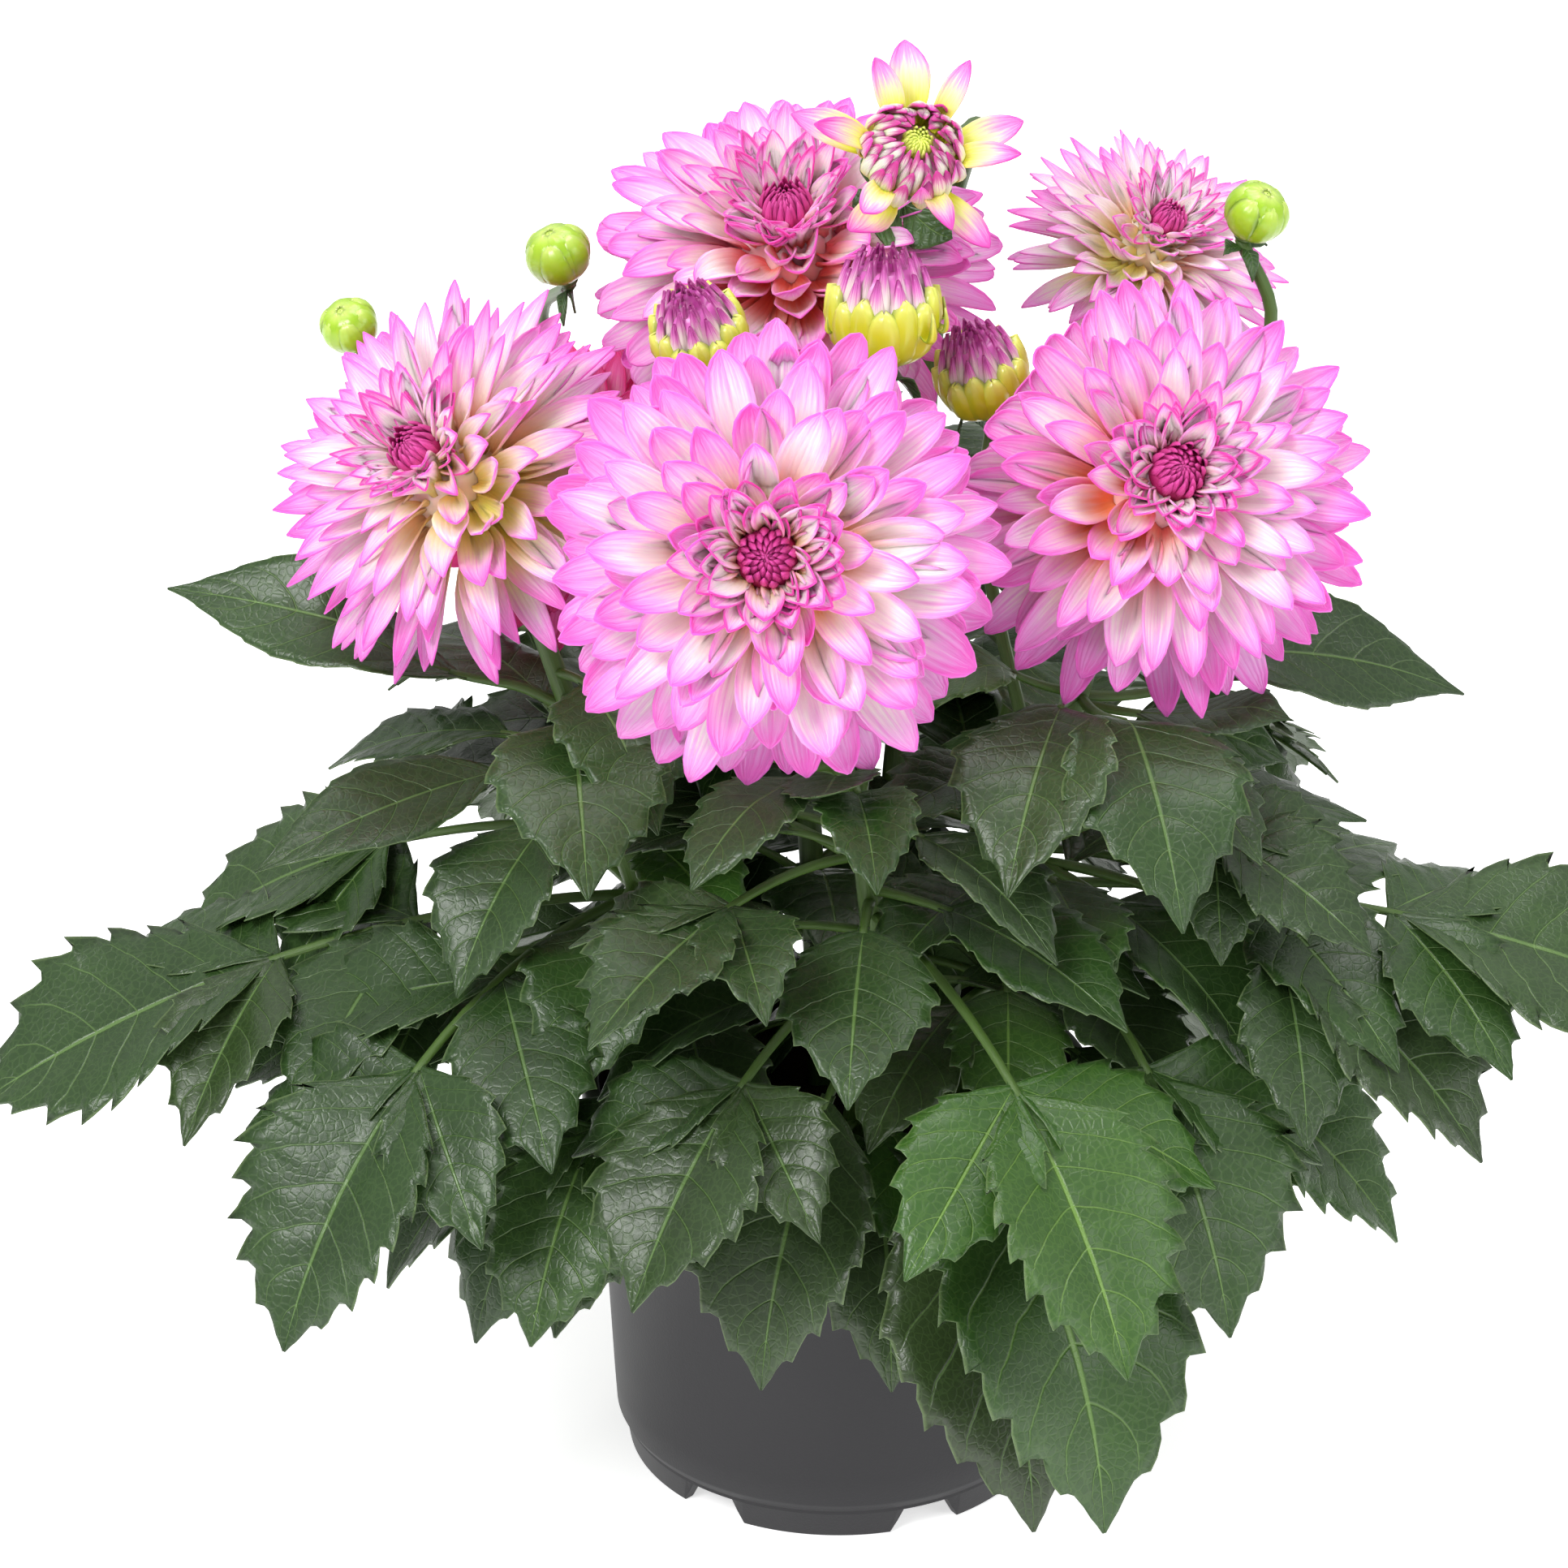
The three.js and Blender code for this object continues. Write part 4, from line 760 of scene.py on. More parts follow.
stems = {
    "front": [(2, -26, 92), (9, -46, 180), (4, -52, 225)],
    "left": [(-30, -6, 92), (-52, -16, 170), (-74, -12, 235)],
    "right": [(28, -10, 92), (48, -24, 170), (62, -22, 235)],
    "top": [(-4, 18, 92), (-8, 28, 180), (-14, 52, 270)],
    "back_right": [(26, 20, 92), (42, 34, 180), (66, 62, 270)],
    "opening": [(10, 38, 92), (18, 56, 200), (28, 98, 310), (31, 104, 345), (37, 84, 377),
                (38, 50, 394), (31, 27, 395)],
    "back_left": [(-26, 22, 92), (-40, 34, 180), (-58, 60, 235)],
}
# Leaves of each stem: heading, height on the stem, rise and length, and where they aren't
# the usual ones the droop, the roll and the kind, which is its pairs of side leaflets or 3
# for a narrow leaf, in degrees and millimetres
leafRows = {
    "front": [
        (-131, 215, 16, 116, 50, 0, 1), (-102, 235, 34, 56, 16), (-60, 195, -2, 162, 60, 0, 1),
        (-125, 180, 2, 135, 60, 0, 1), (-112, 160, -8, 119, 70), (-64, 153, -8, 158, 76),
        (-58, 158, 0, 174, 84), (-40, 205, 10, 92, 40, 10), (-84, 143, -10, 101, 70),
        (-127, 244, 22, 72, 66), (-84, 236, 28, 66, 62), (-95, 200, 16, 90, 62), (180, 215, 30, 70),
        (-100, 122, 30, 66), (-20, 180, 30, 84, 60, 10), (-160, 190, 24, 84, 60, -10),
        (-70, 130, 10, 84, 66), (-155, 170, 18, 90), (-45, 225, 16, 80)],
    "left": [
        (165, 241, 22, 124, 21, -36, 3), (-148, 227, 7, 106, 26, -20, 3), (-84, 245, 18, 100),
        (-131, 188, 6, 180, 74, -6, 2), (-170, 185, 3, 202, 36, -12, 2),
        (168, 206, 0, 144, 40, -20, 1), (-172, 172, 4, 132, 44, -20, 1), (-118, 170, 18, 94, 50),
        (-113, 148, 9, 126, 75, 0, 1), (-100, 190, 10, 88), (-134, 134, 8, 118, 84),
        (100, 205, 44, 92), (-60, 205, 24, 70), (-150, 152, 30, 84, 60, -10), (130, 225, 40, 92),
        (-66, 256, 14, 84), (-122, 222, 0, 84), (-118, 129, 4, 104, 68), (-150, 140, 0, 120),
        (-80, 160, 14, 90)],
    "right": [
        (-107, 256, 10, 98), (-78, 262, 5, 107), (-16, 246, 22, 62, 40, 34),
        (12, 236, 14, 70, 50, 34), (-35, 225, 6, 108, 42, 16, 1), (-6, 192, 5, 198, 28, 10, 2),
        (-25, 200, 4, 158, 60, 8, 1), (17, 254, 11, 122, 40, 34, 3), (-62, 185, -1, 149, 70, 0, 1),
        (-78, 200, 13, 73, 40), (-15, 162, -2, 142, 56, 10, 1), (-42, 150, 6, 104, 66),
        (-92, 170, 14, 78, 62), (-140, 225, 30, 70), (80, 215, 40, 84), (-128, 195, 28, 72, 66),
        (40, 180, 44, 84, 66), (-150, 258, 26, 72), (-52, 240, 20, 84), (-40, 200, -4, 96, 50),
        (-52, 175, 4, 84, 50), (-120, 160, 16, 84)],
    "top": [
        (88, 238, 22, 112, 54, 0, 1), (116, 195, 12, 132, 70, 0, 1), (-150, 215, 40, 84, 70),
        (24, 200, 62, 82), (-164, 170, 44, 100), (-84, 170, 44, 80, 80), (-95, 250, 30, 64),
        (128, 132, 46, 90, 70), (-120, 140, 50, 80, 80), (84, 263, 36, 84, 66), (-110, 225, 30, 84),
        (76, 230, 28, 84, 66)],
    "back_right": [
        (14, 208, 8, 122, 64, 14, 1), (42, 215, 10, 150, 66, 0, 1), (6, 178, 6, 140, 70, 10, 1),
        (30, 148, 2, 128, 80), (58, 250, 34, 104), (-24, 205, 16, 96, 50), (172, 241, 56, 84),
        (96, 180, 46, 90, 66), (-52, 150, 44, 80, 70), (10, 268, 34, 80, 54, 20), (112, 270, 34, 84)],
    "opening": [
        (66, 262, 24, 102, 54, 0, 1), (98, 222, 14, 118, 70, 0, 1), (64, 178, 8, 122, 76, 0, 1),
        (90, 146, 2, 112, 86), (120, 270, 36, 96), (163, 175, 60, 90, 70), (26, 205, 44, 84, 66),
        (90, 292, 30, 80), (140, 242, 36, 84, 66)],
    "back_left": [
        (142, 226, 16, 112, 60, 0, 1), (168, 205, 10, 146, 66, -10, 1), (124, 190, 14, 136, 74, 0, 1),
        (172, 160, 2, 132, 70), (140, 146, 2, 118, 84), (100, 225, 36, 100), (60, 160, 50, 90, 70),
        (-170, 205, 36, 80, 60, -10), (150, 205, 34, 92), (74, 235, 34, 80), (34, 220, 38, 72, 66)],
}
leaves = {
    "usual": (60, 0, 0),  # droop, roll and kind
    # for each kind: where its pairs stand and its end leaflet starts, and their sizes
    "pairsAt": [[], [0.48], [0.32, 0.52], []],
    "endFrom": [0.3, 0.5, 0.54, 0.28],
    "sideLength": [[], [0.4], [0.37, 0.32], []],
    "endWidth": [0.68, 0.78, 0.78, 0.42],
    "narrow": 3,
    "sideAngleDeg": 52,
    "sideWidth": 0.66,
    "foldDeg": 13,
    "leafletDroopDeg": 26,
    "thickness": 0.7 * mm,
    "stalkRadius": 1.5 * mm,
    "across": (-1, -0.82, -0.5, -0.2, 0, 0.2, 0.5, 0.82, 1),
    # teeth start at toothFrom, and each peaks at toothPeak of its length
    "toothFrom": 0.1, "toothPeak": 0.8, "toothPhases": (0, 0.3, 0.58, 0.8, 0.9),
    "teeth": {"smooth": 9, "large": 8, "small": 7, "side": 6, "bract": 3},
    "toothDepth": {"smooth": 0.03, "paired": 0.17, "alone": 0.12, "side": 0.15},
    "largeFrom": 75 * mm,
    # the midrib: how far it runs, how deep it lies, and its radius from and to
    "ribEnd": 0.93, "ribDepth": 0.55 * mm, "ribRadius": (1.0, 0.28), "ribFullAt": 22 * mm,
    "thinEdge": 0.4,
    # how far a blade puffs up, ripples, sags and twists, as shares of its half width
    "quilt": 0.03, "ripple": 0.11, "sag": 0.22, "twist": 0.34,
    # half width along a leaflet
    "endShape": [(0, 0.06), (0.06, 0.3), (0.2, 0.78), (0.38, 0.98), (0.5, 0.95), (0.64, 0.8),
                 (0.76, 0.56), (0.86, 0.3), (0.94, 0.11), (1, 0.015)],
    "aloneShape": [(0, 0.08), (0.07, 0.34), (0.22, 0.8), (0.42, 1.0), (0.58, 0.88),
                   (0.72, 0.63), (0.84, 0.35), (0.93, 0.13), (1, 0.015)],
    "sideShape": [(0, 0.05), (0.1, 0.34), (0.24, 0.78), (0.38, 0.96), (0.52, 0.9), (0.66, 0.72),
                  (0.8, 0.42), (0.91, 0.16), (1, 0.015)],
    # smooth leaves with hardly a tooth: stem and row
    "smooth": {("right", 2), ("right", 3)},
    # brighter young leaves: stem, row and how bright
    "young": {("left", 7): 1.0, ("front", 2): 0.5, ("front", 13): 0.5, ("right", 9): 0.25,
              ("left", 12): 0.6, ("front", 16): 0.6, ("right", 12): 0.4, ("left", 8): 0.25,
              ("front", 6): 0.2, ("right", 17): 0.6, ("back_right", 5): 0.5,
              ("right", 10): 0.3},
    "veins": 7,
    # leaves inside the bush for each stem: heading, height, rise, length and droop, from and to
    "inner": 9,
    "innerRow": ((-10, 190), (122, 240), (-8, 30), (70, 100), (45, 75)),
}


def stemLine(knots):
    # the soft line through a stem's knots: hands back a function of evenly spaced places
    knots = np.array(knots, float) * mm
    padded = np.concatenate([[2 * knots[0] - knots[1]], knots, [2 * knots[-1] - knots[-2]]])
    last = len(knots) - 1

    def places(shares):
        spot = np.minimum(np.floor(shares * last).astype(int), last - 1)
        r = (shares * last - spot)[:, None]
        p0, p1, p2, p3 = (padded[spot + k] for k in range(4))
        d0, d1, d2 = (np.sqrt(np.linalg.norm((a - b) / mm, axis=1))[:, None]
                      for a, b in ((p0, p1), (p1, p2), (p2, p3)))
        m1 = ((p1 - p0) / d0 - (p2 - p0) / (d0 + d1) + (p2 - p1) / d1) * d1
        m2 = ((p2 - p1) / d1 - (p3 - p1) / (d1 + d2) + (p3 - p2) / d2) * d1
        return (p1 + m1 * r + (-3 * p1 + 3 * p2 - 2 * m1 - m2) * r ** 2
                + (2 * p1 - 2 * p2 + m1 + m2) * r ** 3)

    fine = places(np.linspace(0, 1, 201))
    run = np.concatenate([[0], np.cumsum(np.linalg.norm(np.diff(fine, axis=0), axis=1))])

    def spaced(count):
        wanted = np.linspace(0, run[-1], count + 1)
        return places(np.interp(wanted, run, np.linspace(0, 1, 201)))
    return spaced


def atHeight(line, height):
    points = line(60)
    return points[np.argmin(np.abs(points[:, 2] - height * mm))]


def arcOf(start, along, down, length, bend):
    # a line that leaves start along one way and bends down by bend radians
    normal = -down
    side = np.cross(normal, along)

    def at(t):
        t = np.atleast_1d(t)
        a = (bend * t)[:, None]
        ahead = length * np.sin(a) / bend
        fall = length * (1 - np.cos(a)) / bend
        return {"point": start + along * ahead + down * fall,
                "along": along * np.cos(a) + down * np.sin(a),
                "up": normal * np.cos(a) + along * np.sin(a),
                "side": np.broadcast_to(side, (len(t), 3))}
    return at


def growLeaflet(heap, at, half, shape, teeth, depth, tones, draws):
    # one toothed leaflet round the line at(u), with its quilted face
    base, peak = leaves["toothFrom"], leaves["toothPeak"]
    starts = base + (1 - base) * np.arange(teeth) / teeth
    u = np.concatenate(
        [[-0.03, 0.0, 0.035, 0.07]]
        + [s + (1 - base) / teeth * np.array(leaves["toothPhases"]) for s in starts] + [[1.0]])
    phase = np.clip((u - base) / (1 - base), 0, 1) * teeth
    phase = phase - np.floor(phase)
    tooth = np.where(phase < peak, phase / peak, (1 - phase) / (1 - peak))
    inside = (u > base) & (u < 0.97)
    u0 = np.clip(u, 0, 1)[:, None]
    w = np.array(leaves["across"], float)
    edge = np.abs(w)[None]
    lines = at(np.clip(u, -0.03, 1))
    envelope = curveThrough(shape, u0[:, 0], 7)
    waver = 1 + 0.05 * np.sin(5 * u + 6.3 * draws.random())
    size = 0.6 + 0.8 * draws.random((len(u), 2))
    reach = edge * (half * envelope * waver)[:, None]
    shift = np.zeros(reach.shape)
    for hand, col in ((0, 0), (1, -1)):
        cut = depth * half * (tooth - 0.55) * inside * size[:, hand] * np.minimum(1, envelope * 2)
        reach[:, col] = np.maximum(reach[:, col] + cut, 0.02 * mm)
        shift[:, col] = np.maximum(cut, 0) * 0.9
    hand = np.sign(w)[None]
    fold = math.radians(leaves["foldDeg"] * (0.4 + 1.2 * draws.random()))
    quilt = np.cos(fullTurn * (u[:, None] * leaves["veins"] - edge * 1.5))
    quilt = quilt * leaves["quilt"] * half * edge * (1 - edge) * 4 * envelope[:, None]
    first, second = 6.3 * draws.random(2)
    ripple = np.where(w[None] < 0, np.sin(8.5 * u0 + first), np.sin(7.5 * u0 + second))
    ripple = ripple * leaves["ripple"] * half * edge ** 2 * envelope[:, None]
    sag = leaves["sag"] * draws.random() * half * edge ** 2.5 * envelope[:, None] * u0
    twist = (draws.random() - 0.5) * leaves["twist"] * u0 * reach * hand
    lift = reach * math.sin(fold) + quilt + ripple + twist - sag
    side, up, along = (lines[key][:, None] for key in ("side", "up", "along"))
    points = (lines["point"][:, None] + side * (reach * hand * math.cos(fold))[..., None]
              + up * lift[..., None] + along * shift[..., None])
    points = outOfBlooms(points)
    facing = unit(np.cross(np.gradient(points, axis=0), np.gradient(points, axis=1)) + 1e-12)
    thick = np.full(reach.shape, leaves["thickness"])
    thick[:, [0, -1]] *= leaves["thinEdge"]
    addSheets(heap, points, facing, thick, stack3(u0, w[None], tones[2]), (*tones[:2], 1), 0)
    # the midrib stands out below
    rib = at(np.linspace(0, leaves["ribEnd"], 12))
    centre = outOfBlooms(rib["point"] - rib["up"] * leaves["ribDepth"])
    radii = np.linspace(*leaves["ribRadius"], 12) * mm * min(1, half / leaves["ribFullAt"])
    addTube(heap, centre, radii, 6, (*tones[:2], 0), 1, side=rib["side"])


def growLeaf(heap, line, row, isSmooth, youth, draws):
    heading, height, rise, length, droop, roll, kind = (*row, *leaves["usual"][len(row) - 4:])
    isSmooth = isSmooth or kind == leaves["narrow"]
    length = length * mm
    a, e, r = math.radians(heading), math.radians(rise), math.radians(roll)
    level = np.array([math.cos(a), math.sin(a), 0])
    along = level * math.cos(e) + np.array([0, 0, math.sin(e)])
    down = level * math.sin(e) - np.array([0, 0, math.cos(e)])
    arc = arcOf(atHeight(line, height), along, down, length, math.radians(droop))

    def main(t):
        found = arc(t)
        up, side = found["up"], found["side"]
        found["up"] = up * math.cos(r) - side * math.sin(r)
        found["side"] = side * math.cos(r) + up * math.sin(r)
        return found

    endFrom = leaves["endFrom"][kind]
    pairs = leaves["pairsAt"][kind]
    tones = (draws.random(), youth, draws.random())
    stalk = main(np.linspace(0, endFrom + 0.02, 12))
    addTube(heap, outOfBlooms(stalk["point"]), np.linspace(1.25, 0.85, 12) * leaves["stalkRadius"],
            8, (*tones[:2], 0.5), 1, side=stalk["side"], flat=0.8)
    size = length * (1 - endFrom)
    half = size * leaves["endWidth"][kind] / 2
    cut = "smooth" if isSmooth else ("paired" if pairs else "alone")
    count = "smooth" if isSmooth else ("large" if size > leaves["largeFrom"] else "small")
    growLeaflet(heap, lambda u: main(endFrom + (1 - endFrom) * np.asarray(u)), half,
                leaves["endShape" if pairs else "aloneShape"], leaves["teeth"][count],
                leaves["toothDepth"][cut], tones, draws)
    for t, share in zip(pairs, leaves["sideLength"][kind]):
        joint = main(t)
        point, ahead, up, side = (joint[key][0] for key in ("point", "along", "up", "side"))
        for hand in (1, -1):
            angle = math.radians(leaves["sideAngleDeg"]) * hand
            out = ahead * math.cos(angle) + side * math.sin(angle)
            reach = length * share
            own = arcOf(point, out, -up, reach, math.radians(leaves["leafletDroopDeg"]))
            growLeaflet(heap, own, reach * leaves["sideWidth"] / 2, leaves["sideShape"],
                        leaves["teeth"]["side"], leaves["toothDepth"]["side"],
                        (*tones[:2], draws.random()), draws)


def makeLeafSkin():
    skin = Skin("leafSkin", 0.42, 0.5)
    u, w, piece = skin.marks("place")
    draw, youth, face = skin.marks("trait")
    edge = skin.sum("ABSOLUTE", w)
    where = skin.where()
    clouds = skin.noise(where, 38, 4)
    fine = skin.noise(where, 420, 4, 0.65)
    # side veins leave the midrib and sweep towards the tip
    sweep = skin.times(skin.sum("POWER", edge, 1.25), 1.5)
    run = skin.timesPlus(clouds, 0.25, skin.less(skin.times(u, leaves["veins"]), sweep))
    off = skin.sum("ABSOLUTE", skin.less(skin.sum("FRACT", run), 0.5))
    sideVein = skin.times(skin.fade(off, 0.46, 0.494), skin.fade(skin.less(1, edge), 0, 0.3))
    midVein = skin.less(1, skin.fade(edge, 0.012, 0.036))
    net = skin.less(1, skin.fade(skin.cells(where, 420), 0.0, 0.16))
    bright = skin.blend(clouds, (44, 92, 22), (78, 128, 40))
    vein = skin.blend(youth, (96, 126, 70), (136, 178, 74))
    rim = skin.fade(edge, 0.965, 1.0)
    green = skin.coats((20, 42, 14), (clouds, (48, 80, 30)),
                       (skin.times(draw, 0.55), (50, 58, 42)),
                       (skin.times(skin.fade(piece, 0.7, 1), 0.3), (62, 54, 44)),
                       (youth, bright), (skin.times(fine, 0.35), (22, 38, 16)),
                       (skin.times(net, 0.1), vein), (skin.times(sideVein, 0.45), vein),
                       (skin.times(midVein, 0.7), vein), (skin.times(rim, 0.4), (124, 146, 96)))
    below = skin.blend(clouds, (52, 76, 38), (72, 96, 54))
    skin.colour(skin.blend(face, below, green))
    skin.put(skin.timesPlus(fine, 0.2, 0.26), skin.inputs["Roughness"])
    low = skin.times(skin.sum("MAXIMUM", sideVein, midVein), -1.0)
    height = skin.timesPlus(net, -0.14, skin.timesPlus(fine, 0.35, low))
    # the blade is puffed up between its side veins
    height = skin.timesPlus(skin.times(off, off), -2.4, height)
    skin.bump(height, 0.6, 0.6 * mm)
    return skin


def makeStalkSkin():
    skin = Skin("stalkSkin", 0.42, 0.5)
    t, w, _ = skin.marks("place")
    draw, _, _ = skin.marks("trait")
    streaks = skin.noise(skin.join(skin.times(w, 4), skin.times(t, 2), draw), 3, 3)
    spots = skin.noise(skin.where(), 300, 3)
    skin.colour(skin.coats((46, 72, 24), (streaks, (92, 124, 50)),
                           (skin.times(spots, 0.3), (52, 76, 32))))
    skin.bump(skin.timesPlus(spots, 0.5, streaks), 0.4, 0.4 * mm)
    return skin


cups = {"profile": [(0.01, -0.26), (0.12, -0.2), (0.2, -0.12), (0.24, -0.06), (0.2, 0),
                    (0.01, 0)],
        "budBracts": 3, "budBract": 1.1, "openingBracts": 4, "openingBract": 0.26,
        "bractHalf": 0.24, "bractTones": (0.3, 0.35),
        # how far behind a bloom or bud the cup stands, as shares of the radius and a gap
        "bloomBack": 0.13, "budBack": 0.98, "backGap": 0.35, "budSize": 1.4}
stemSize = {"steps": 48, "low": 4.2, "high": 2.6, "ripple": 0.03, "sides": 14,
            "budStalk": 1.9, "budSteps": 30, "budSides": 10}


def growCup(heap, at, face, radius, back, bracts, bractReach, draws):
    # the green cup and the small bracts behind a bloom or bud
    axes = axesOf(face)
    forward = axes[0]
    addTurned(heap, at - forward * back, axes, radius, cups["profile"], (0.5, 0.3, 1), 1)
    for out in waysRound(np.arange(bracts) * fullTurn / max(bracts, 1) + 0.5, axes):
        along = out * 0.8 - forward * 0.6
        down = -(forward * 0.8 + out * 0.6)
        own = arcOf(at - forward * (back + 0.1 * radius), along, down, bractReach, 0.6)
        growLeaflet(heap, own, bractReach * cups["bractHalf"], leaves["sideShape"],
                    leaves["teeth"]["bract"], leaves["toothDepth"]["smooth"],
                    (*cups["bractTones"], draws.random()), draws)


def makeStems():
    skins = [makeLeafSkin(), makeStalkSkin()]
    for number, (name, knots) in enumerate(stems.items()):
        draws = np.random.default_rng(200 + number)
        heap = newHeap()
        row = blooms[name]
        at, radius, _ = heads[name]
        back = cups["bloomBack"] * row["radius"] + cups["backGap"]
        end = np.array(row["at"]) - unit(row["face"]) * (back + 0.1 * row["radius"])
        line = stemLine([*knots, end])
        places = np.arange(stemSize["steps"] + 1)
        radii = np.linspace(stemSize["low"], stemSize["high"], len(places)) * mm
        radii = radii * (1 + stemSize["ripple"] * np.sin(places * 1.1))
        addTube(heap, line(stemSize["steps"]), radii, stemSize["sides"], (0.5, 0.2, 0), 1)
        for i, leafRow in enumerate(leafRows[name]):
            youth = leaves["young"].get((name, i), 0.12 * draws.random())
            growLeaf(heap, line, leafRow, (name, i) in leaves["smooth"], youth, draws)
        for _ in range(leaves["inner"]):
            leafRow = [low + (high - low) * draws.random() for low, high in leaves["innerRow"]]
            growLeaf(heap, line, leafRow, False, 0, draws)
        bracts = cups["openingBracts"] if name == "opening" else 0
        growCup(heap, at, row["face"], radius, back * mm, bracts,
                radius * cups["openingBract"], draws)
        for bud in (b for b in buds.values() if b["stem"] == name):
            seat = bud["radius"] * cups["budBack"] + cups["backGap"]
            base = np.array(bud["at"]) - unit(bud["face"]) * (seat + 0.2 * bud["radius"])
            stalk = stemLine([atHeight(line, bud["from"]) / mm, bud["bend"], base])
            radii = np.full(stemSize["budSteps"] + 1, stemSize["budStalk"] * mm)
            addTube(heap, stalk(stemSize["budSteps"]), radii, stemSize["budSides"],
                    (0.4, 0.3, 0), 1)
            size = bud["radius"] * cups["budSize"] * mm
            growCup(heap, np.array(bud["at"]) * mm, bud["face"], size, seat * mm,
                    cups["budBracts"], size * cups["budBract"], draws)
        finishPiece("leaves_" + name, heap, skins, "foliage", "stem_" + name)
        print("stem and leaves of", name)


makeStems()

budShapes = {
    "along": np.linspace(0, 1, 12), "across": np.linspace(-1, 1, 7), "thickness": 0.5 * mm,
    # outline from the stalk to the tip as shares of the radius
    "closed": [(0.02, -0.92), (0.5, -0.82), (0.85, -0.5), (1.0, 0.0), (0.92, 0.42), (0.6, 0.78),
               (0.02, 0.93)],
    "open": [(0.02, -0.95), (0.5, -0.86), (0.86, -0.55), (1.0, 0.0), (0.94, 0.5), (0.76, 0.95),
             (0.5, 1.2)],
    # the striped petals of an open bud stand higher
    "striped": [(0.02, -0.95), (0.5, -0.86), (0.86, -0.55), (1.0, 0.0), (0.95, 0.5),
                (0.8, 0.95), (0.66, 1.34)],
    # half width along a scale
    "scale": [(0, 0.5), (0.25, 0.9), (0.55, 1.0), (0.8, 0.8), (0.93, 0.45), (1, 0.05)],
    "narrow": [(0, 0.7), (0.35, 1.0), (0.65, 0.8), (0.85, 0.45), (1, 0.03)],
    # rows of scales: count, first spin, from and to along the outline, half width, shape,
    # lifts, crown, tone and skin (0 is green, 1 is striped)
    "openRows": [(7, 0.2, 0.02, 0.72, 0.5, "scale", (0.0, 0.02), 0.2, 1.0, 0),
                 (7, 0.65, 0.02, 0.78, 0.44, "scale", (-0.04, -0.02), 0.2, 0.7, 0),
                 (11, 0.5, 0.25, 0.9, 0.26, "narrow", (-0.06, -0.1), 0.1, 0.0, 1),
                 (11, 0.1, 0.4, 1.0, 0.2, "narrow", (-0.16, -0.22), 0.08, 0.2, 1),
                 (10, 0.4, 0.5, 1.0, 0.17, "narrow", (-0.32, -0.38), 0.07, 0.45, 1),
                 (7, 0.1, 0.5, 0.98, 0.17, "narrow", (-0.5, -0.56), 0.05, 0.7, 1)],
    "closedRows": [(5, 0.9, 0.3, 0.96, 0.75, "scale", (-0.01, 0.0), 0.08, 0.2, 0),
                   (6, 0.2, 0.03, 0.82, 0.62, "scale", (0.01, 0.04), 0.1, 0.1, 0)],
    # thin sepals that curl away from two buds: spin and reach as shares of the radius
    "curlHalf": 0.16,
    "curls": {"bud_4": [(-0.3, 0.9), (-0.8, 1.1), (0.25, 0.8), (3.4, 0.6)],
              "bud_2": [(2.6, 0.9), (3.3, 0.7)]},
}


def alongOutline(knots, places):
    knots = np.array(knots)
    run = np.concatenate([[0], np.cumsum(np.linalg.norm(np.diff(knots, axis=0), axis=1))])
    run = run / run[-1]
    return (curveThrough(list(zip(run, knots[:, 0])), places, 15),
            curveThrough(list(zip(run, knots[:, 1])), places, 15))


def growScales(heap, at, size, axes, knots, row, draws):
    # blades that hug the bud's outline
    count, turn, start, stop, half, shape, lifts, crown, tone, skin = row
    t, w = budShapes["along"], budShapes["across"]
    r, z = alongOutline(knots, start + (stop - start) * t)
    width = curveThrough(budShapes[shape], t, 7)
    for k in range(count):
        azimuth = (turn + fullTurn * k / count
                   + half * (width[:, None] * w[None]) / np.maximum(r, 0.35)[:, None])
        around = waysRound(azimuth.ravel(), axes).reshape(len(t), len(w), 3)
        bulge = lifts[k % len(lifts)] + 0.015 * draws.random() + crown * (1 - w[None] ** 2)
        points = (at + around * (size * (r[:, None] + bulge))[..., None]
                  + axes[0] * (size * z)[:, None, None])
        facing = unit(np.cross(np.gradient(points, axis=0), np.gradient(points, axis=1)))
        if np.sum(facing * around) < 0:
            facing = -facing[:, ::-1]
            points = points[:, ::-1]
        addSheets(heap, points, facing, budShapes["thickness"], stack3(t[:, None], w[None], tone),
                  (draws.random(), tone, 1), skin)


def growCurls(heap, at, size, axes, rows, draws):
    # a thin pale sepal leaves the side of the bud, falls outward and curls up again
    forward = axes[0]
    t, w = np.linspace(0, 1, 14), np.linspace(-1, 1, 5)
    for spin, reach in rows:
        out = waysRound(np.array([spin]), axes)[0]
        across = np.cross(forward, out)
        far = 0.96 + reach * 0.42 * np.sin(t * 2.2)
        high = -0.35 + reach * (0.35 - 1.1 * t + 1.5 * t ** 2)
        middle = at + size * (out * far[:, None] + forward * high[:, None])
        normal = unit(np.cross(np.gradient(middle, axis=0), across))
        width = size * budShapes["curlHalf"] * curveThrough(budShapes["narrow"], t, 7)
        points = ribbonPoints(middle, across, normal, width, w, 0.5 * w ** 2)
        addSheets(heap, points, normal[:, None], budShapes["thickness"],
                  stack3(t[:, None], w[None], 1.0), (draws.random(), 1, 1), 0)


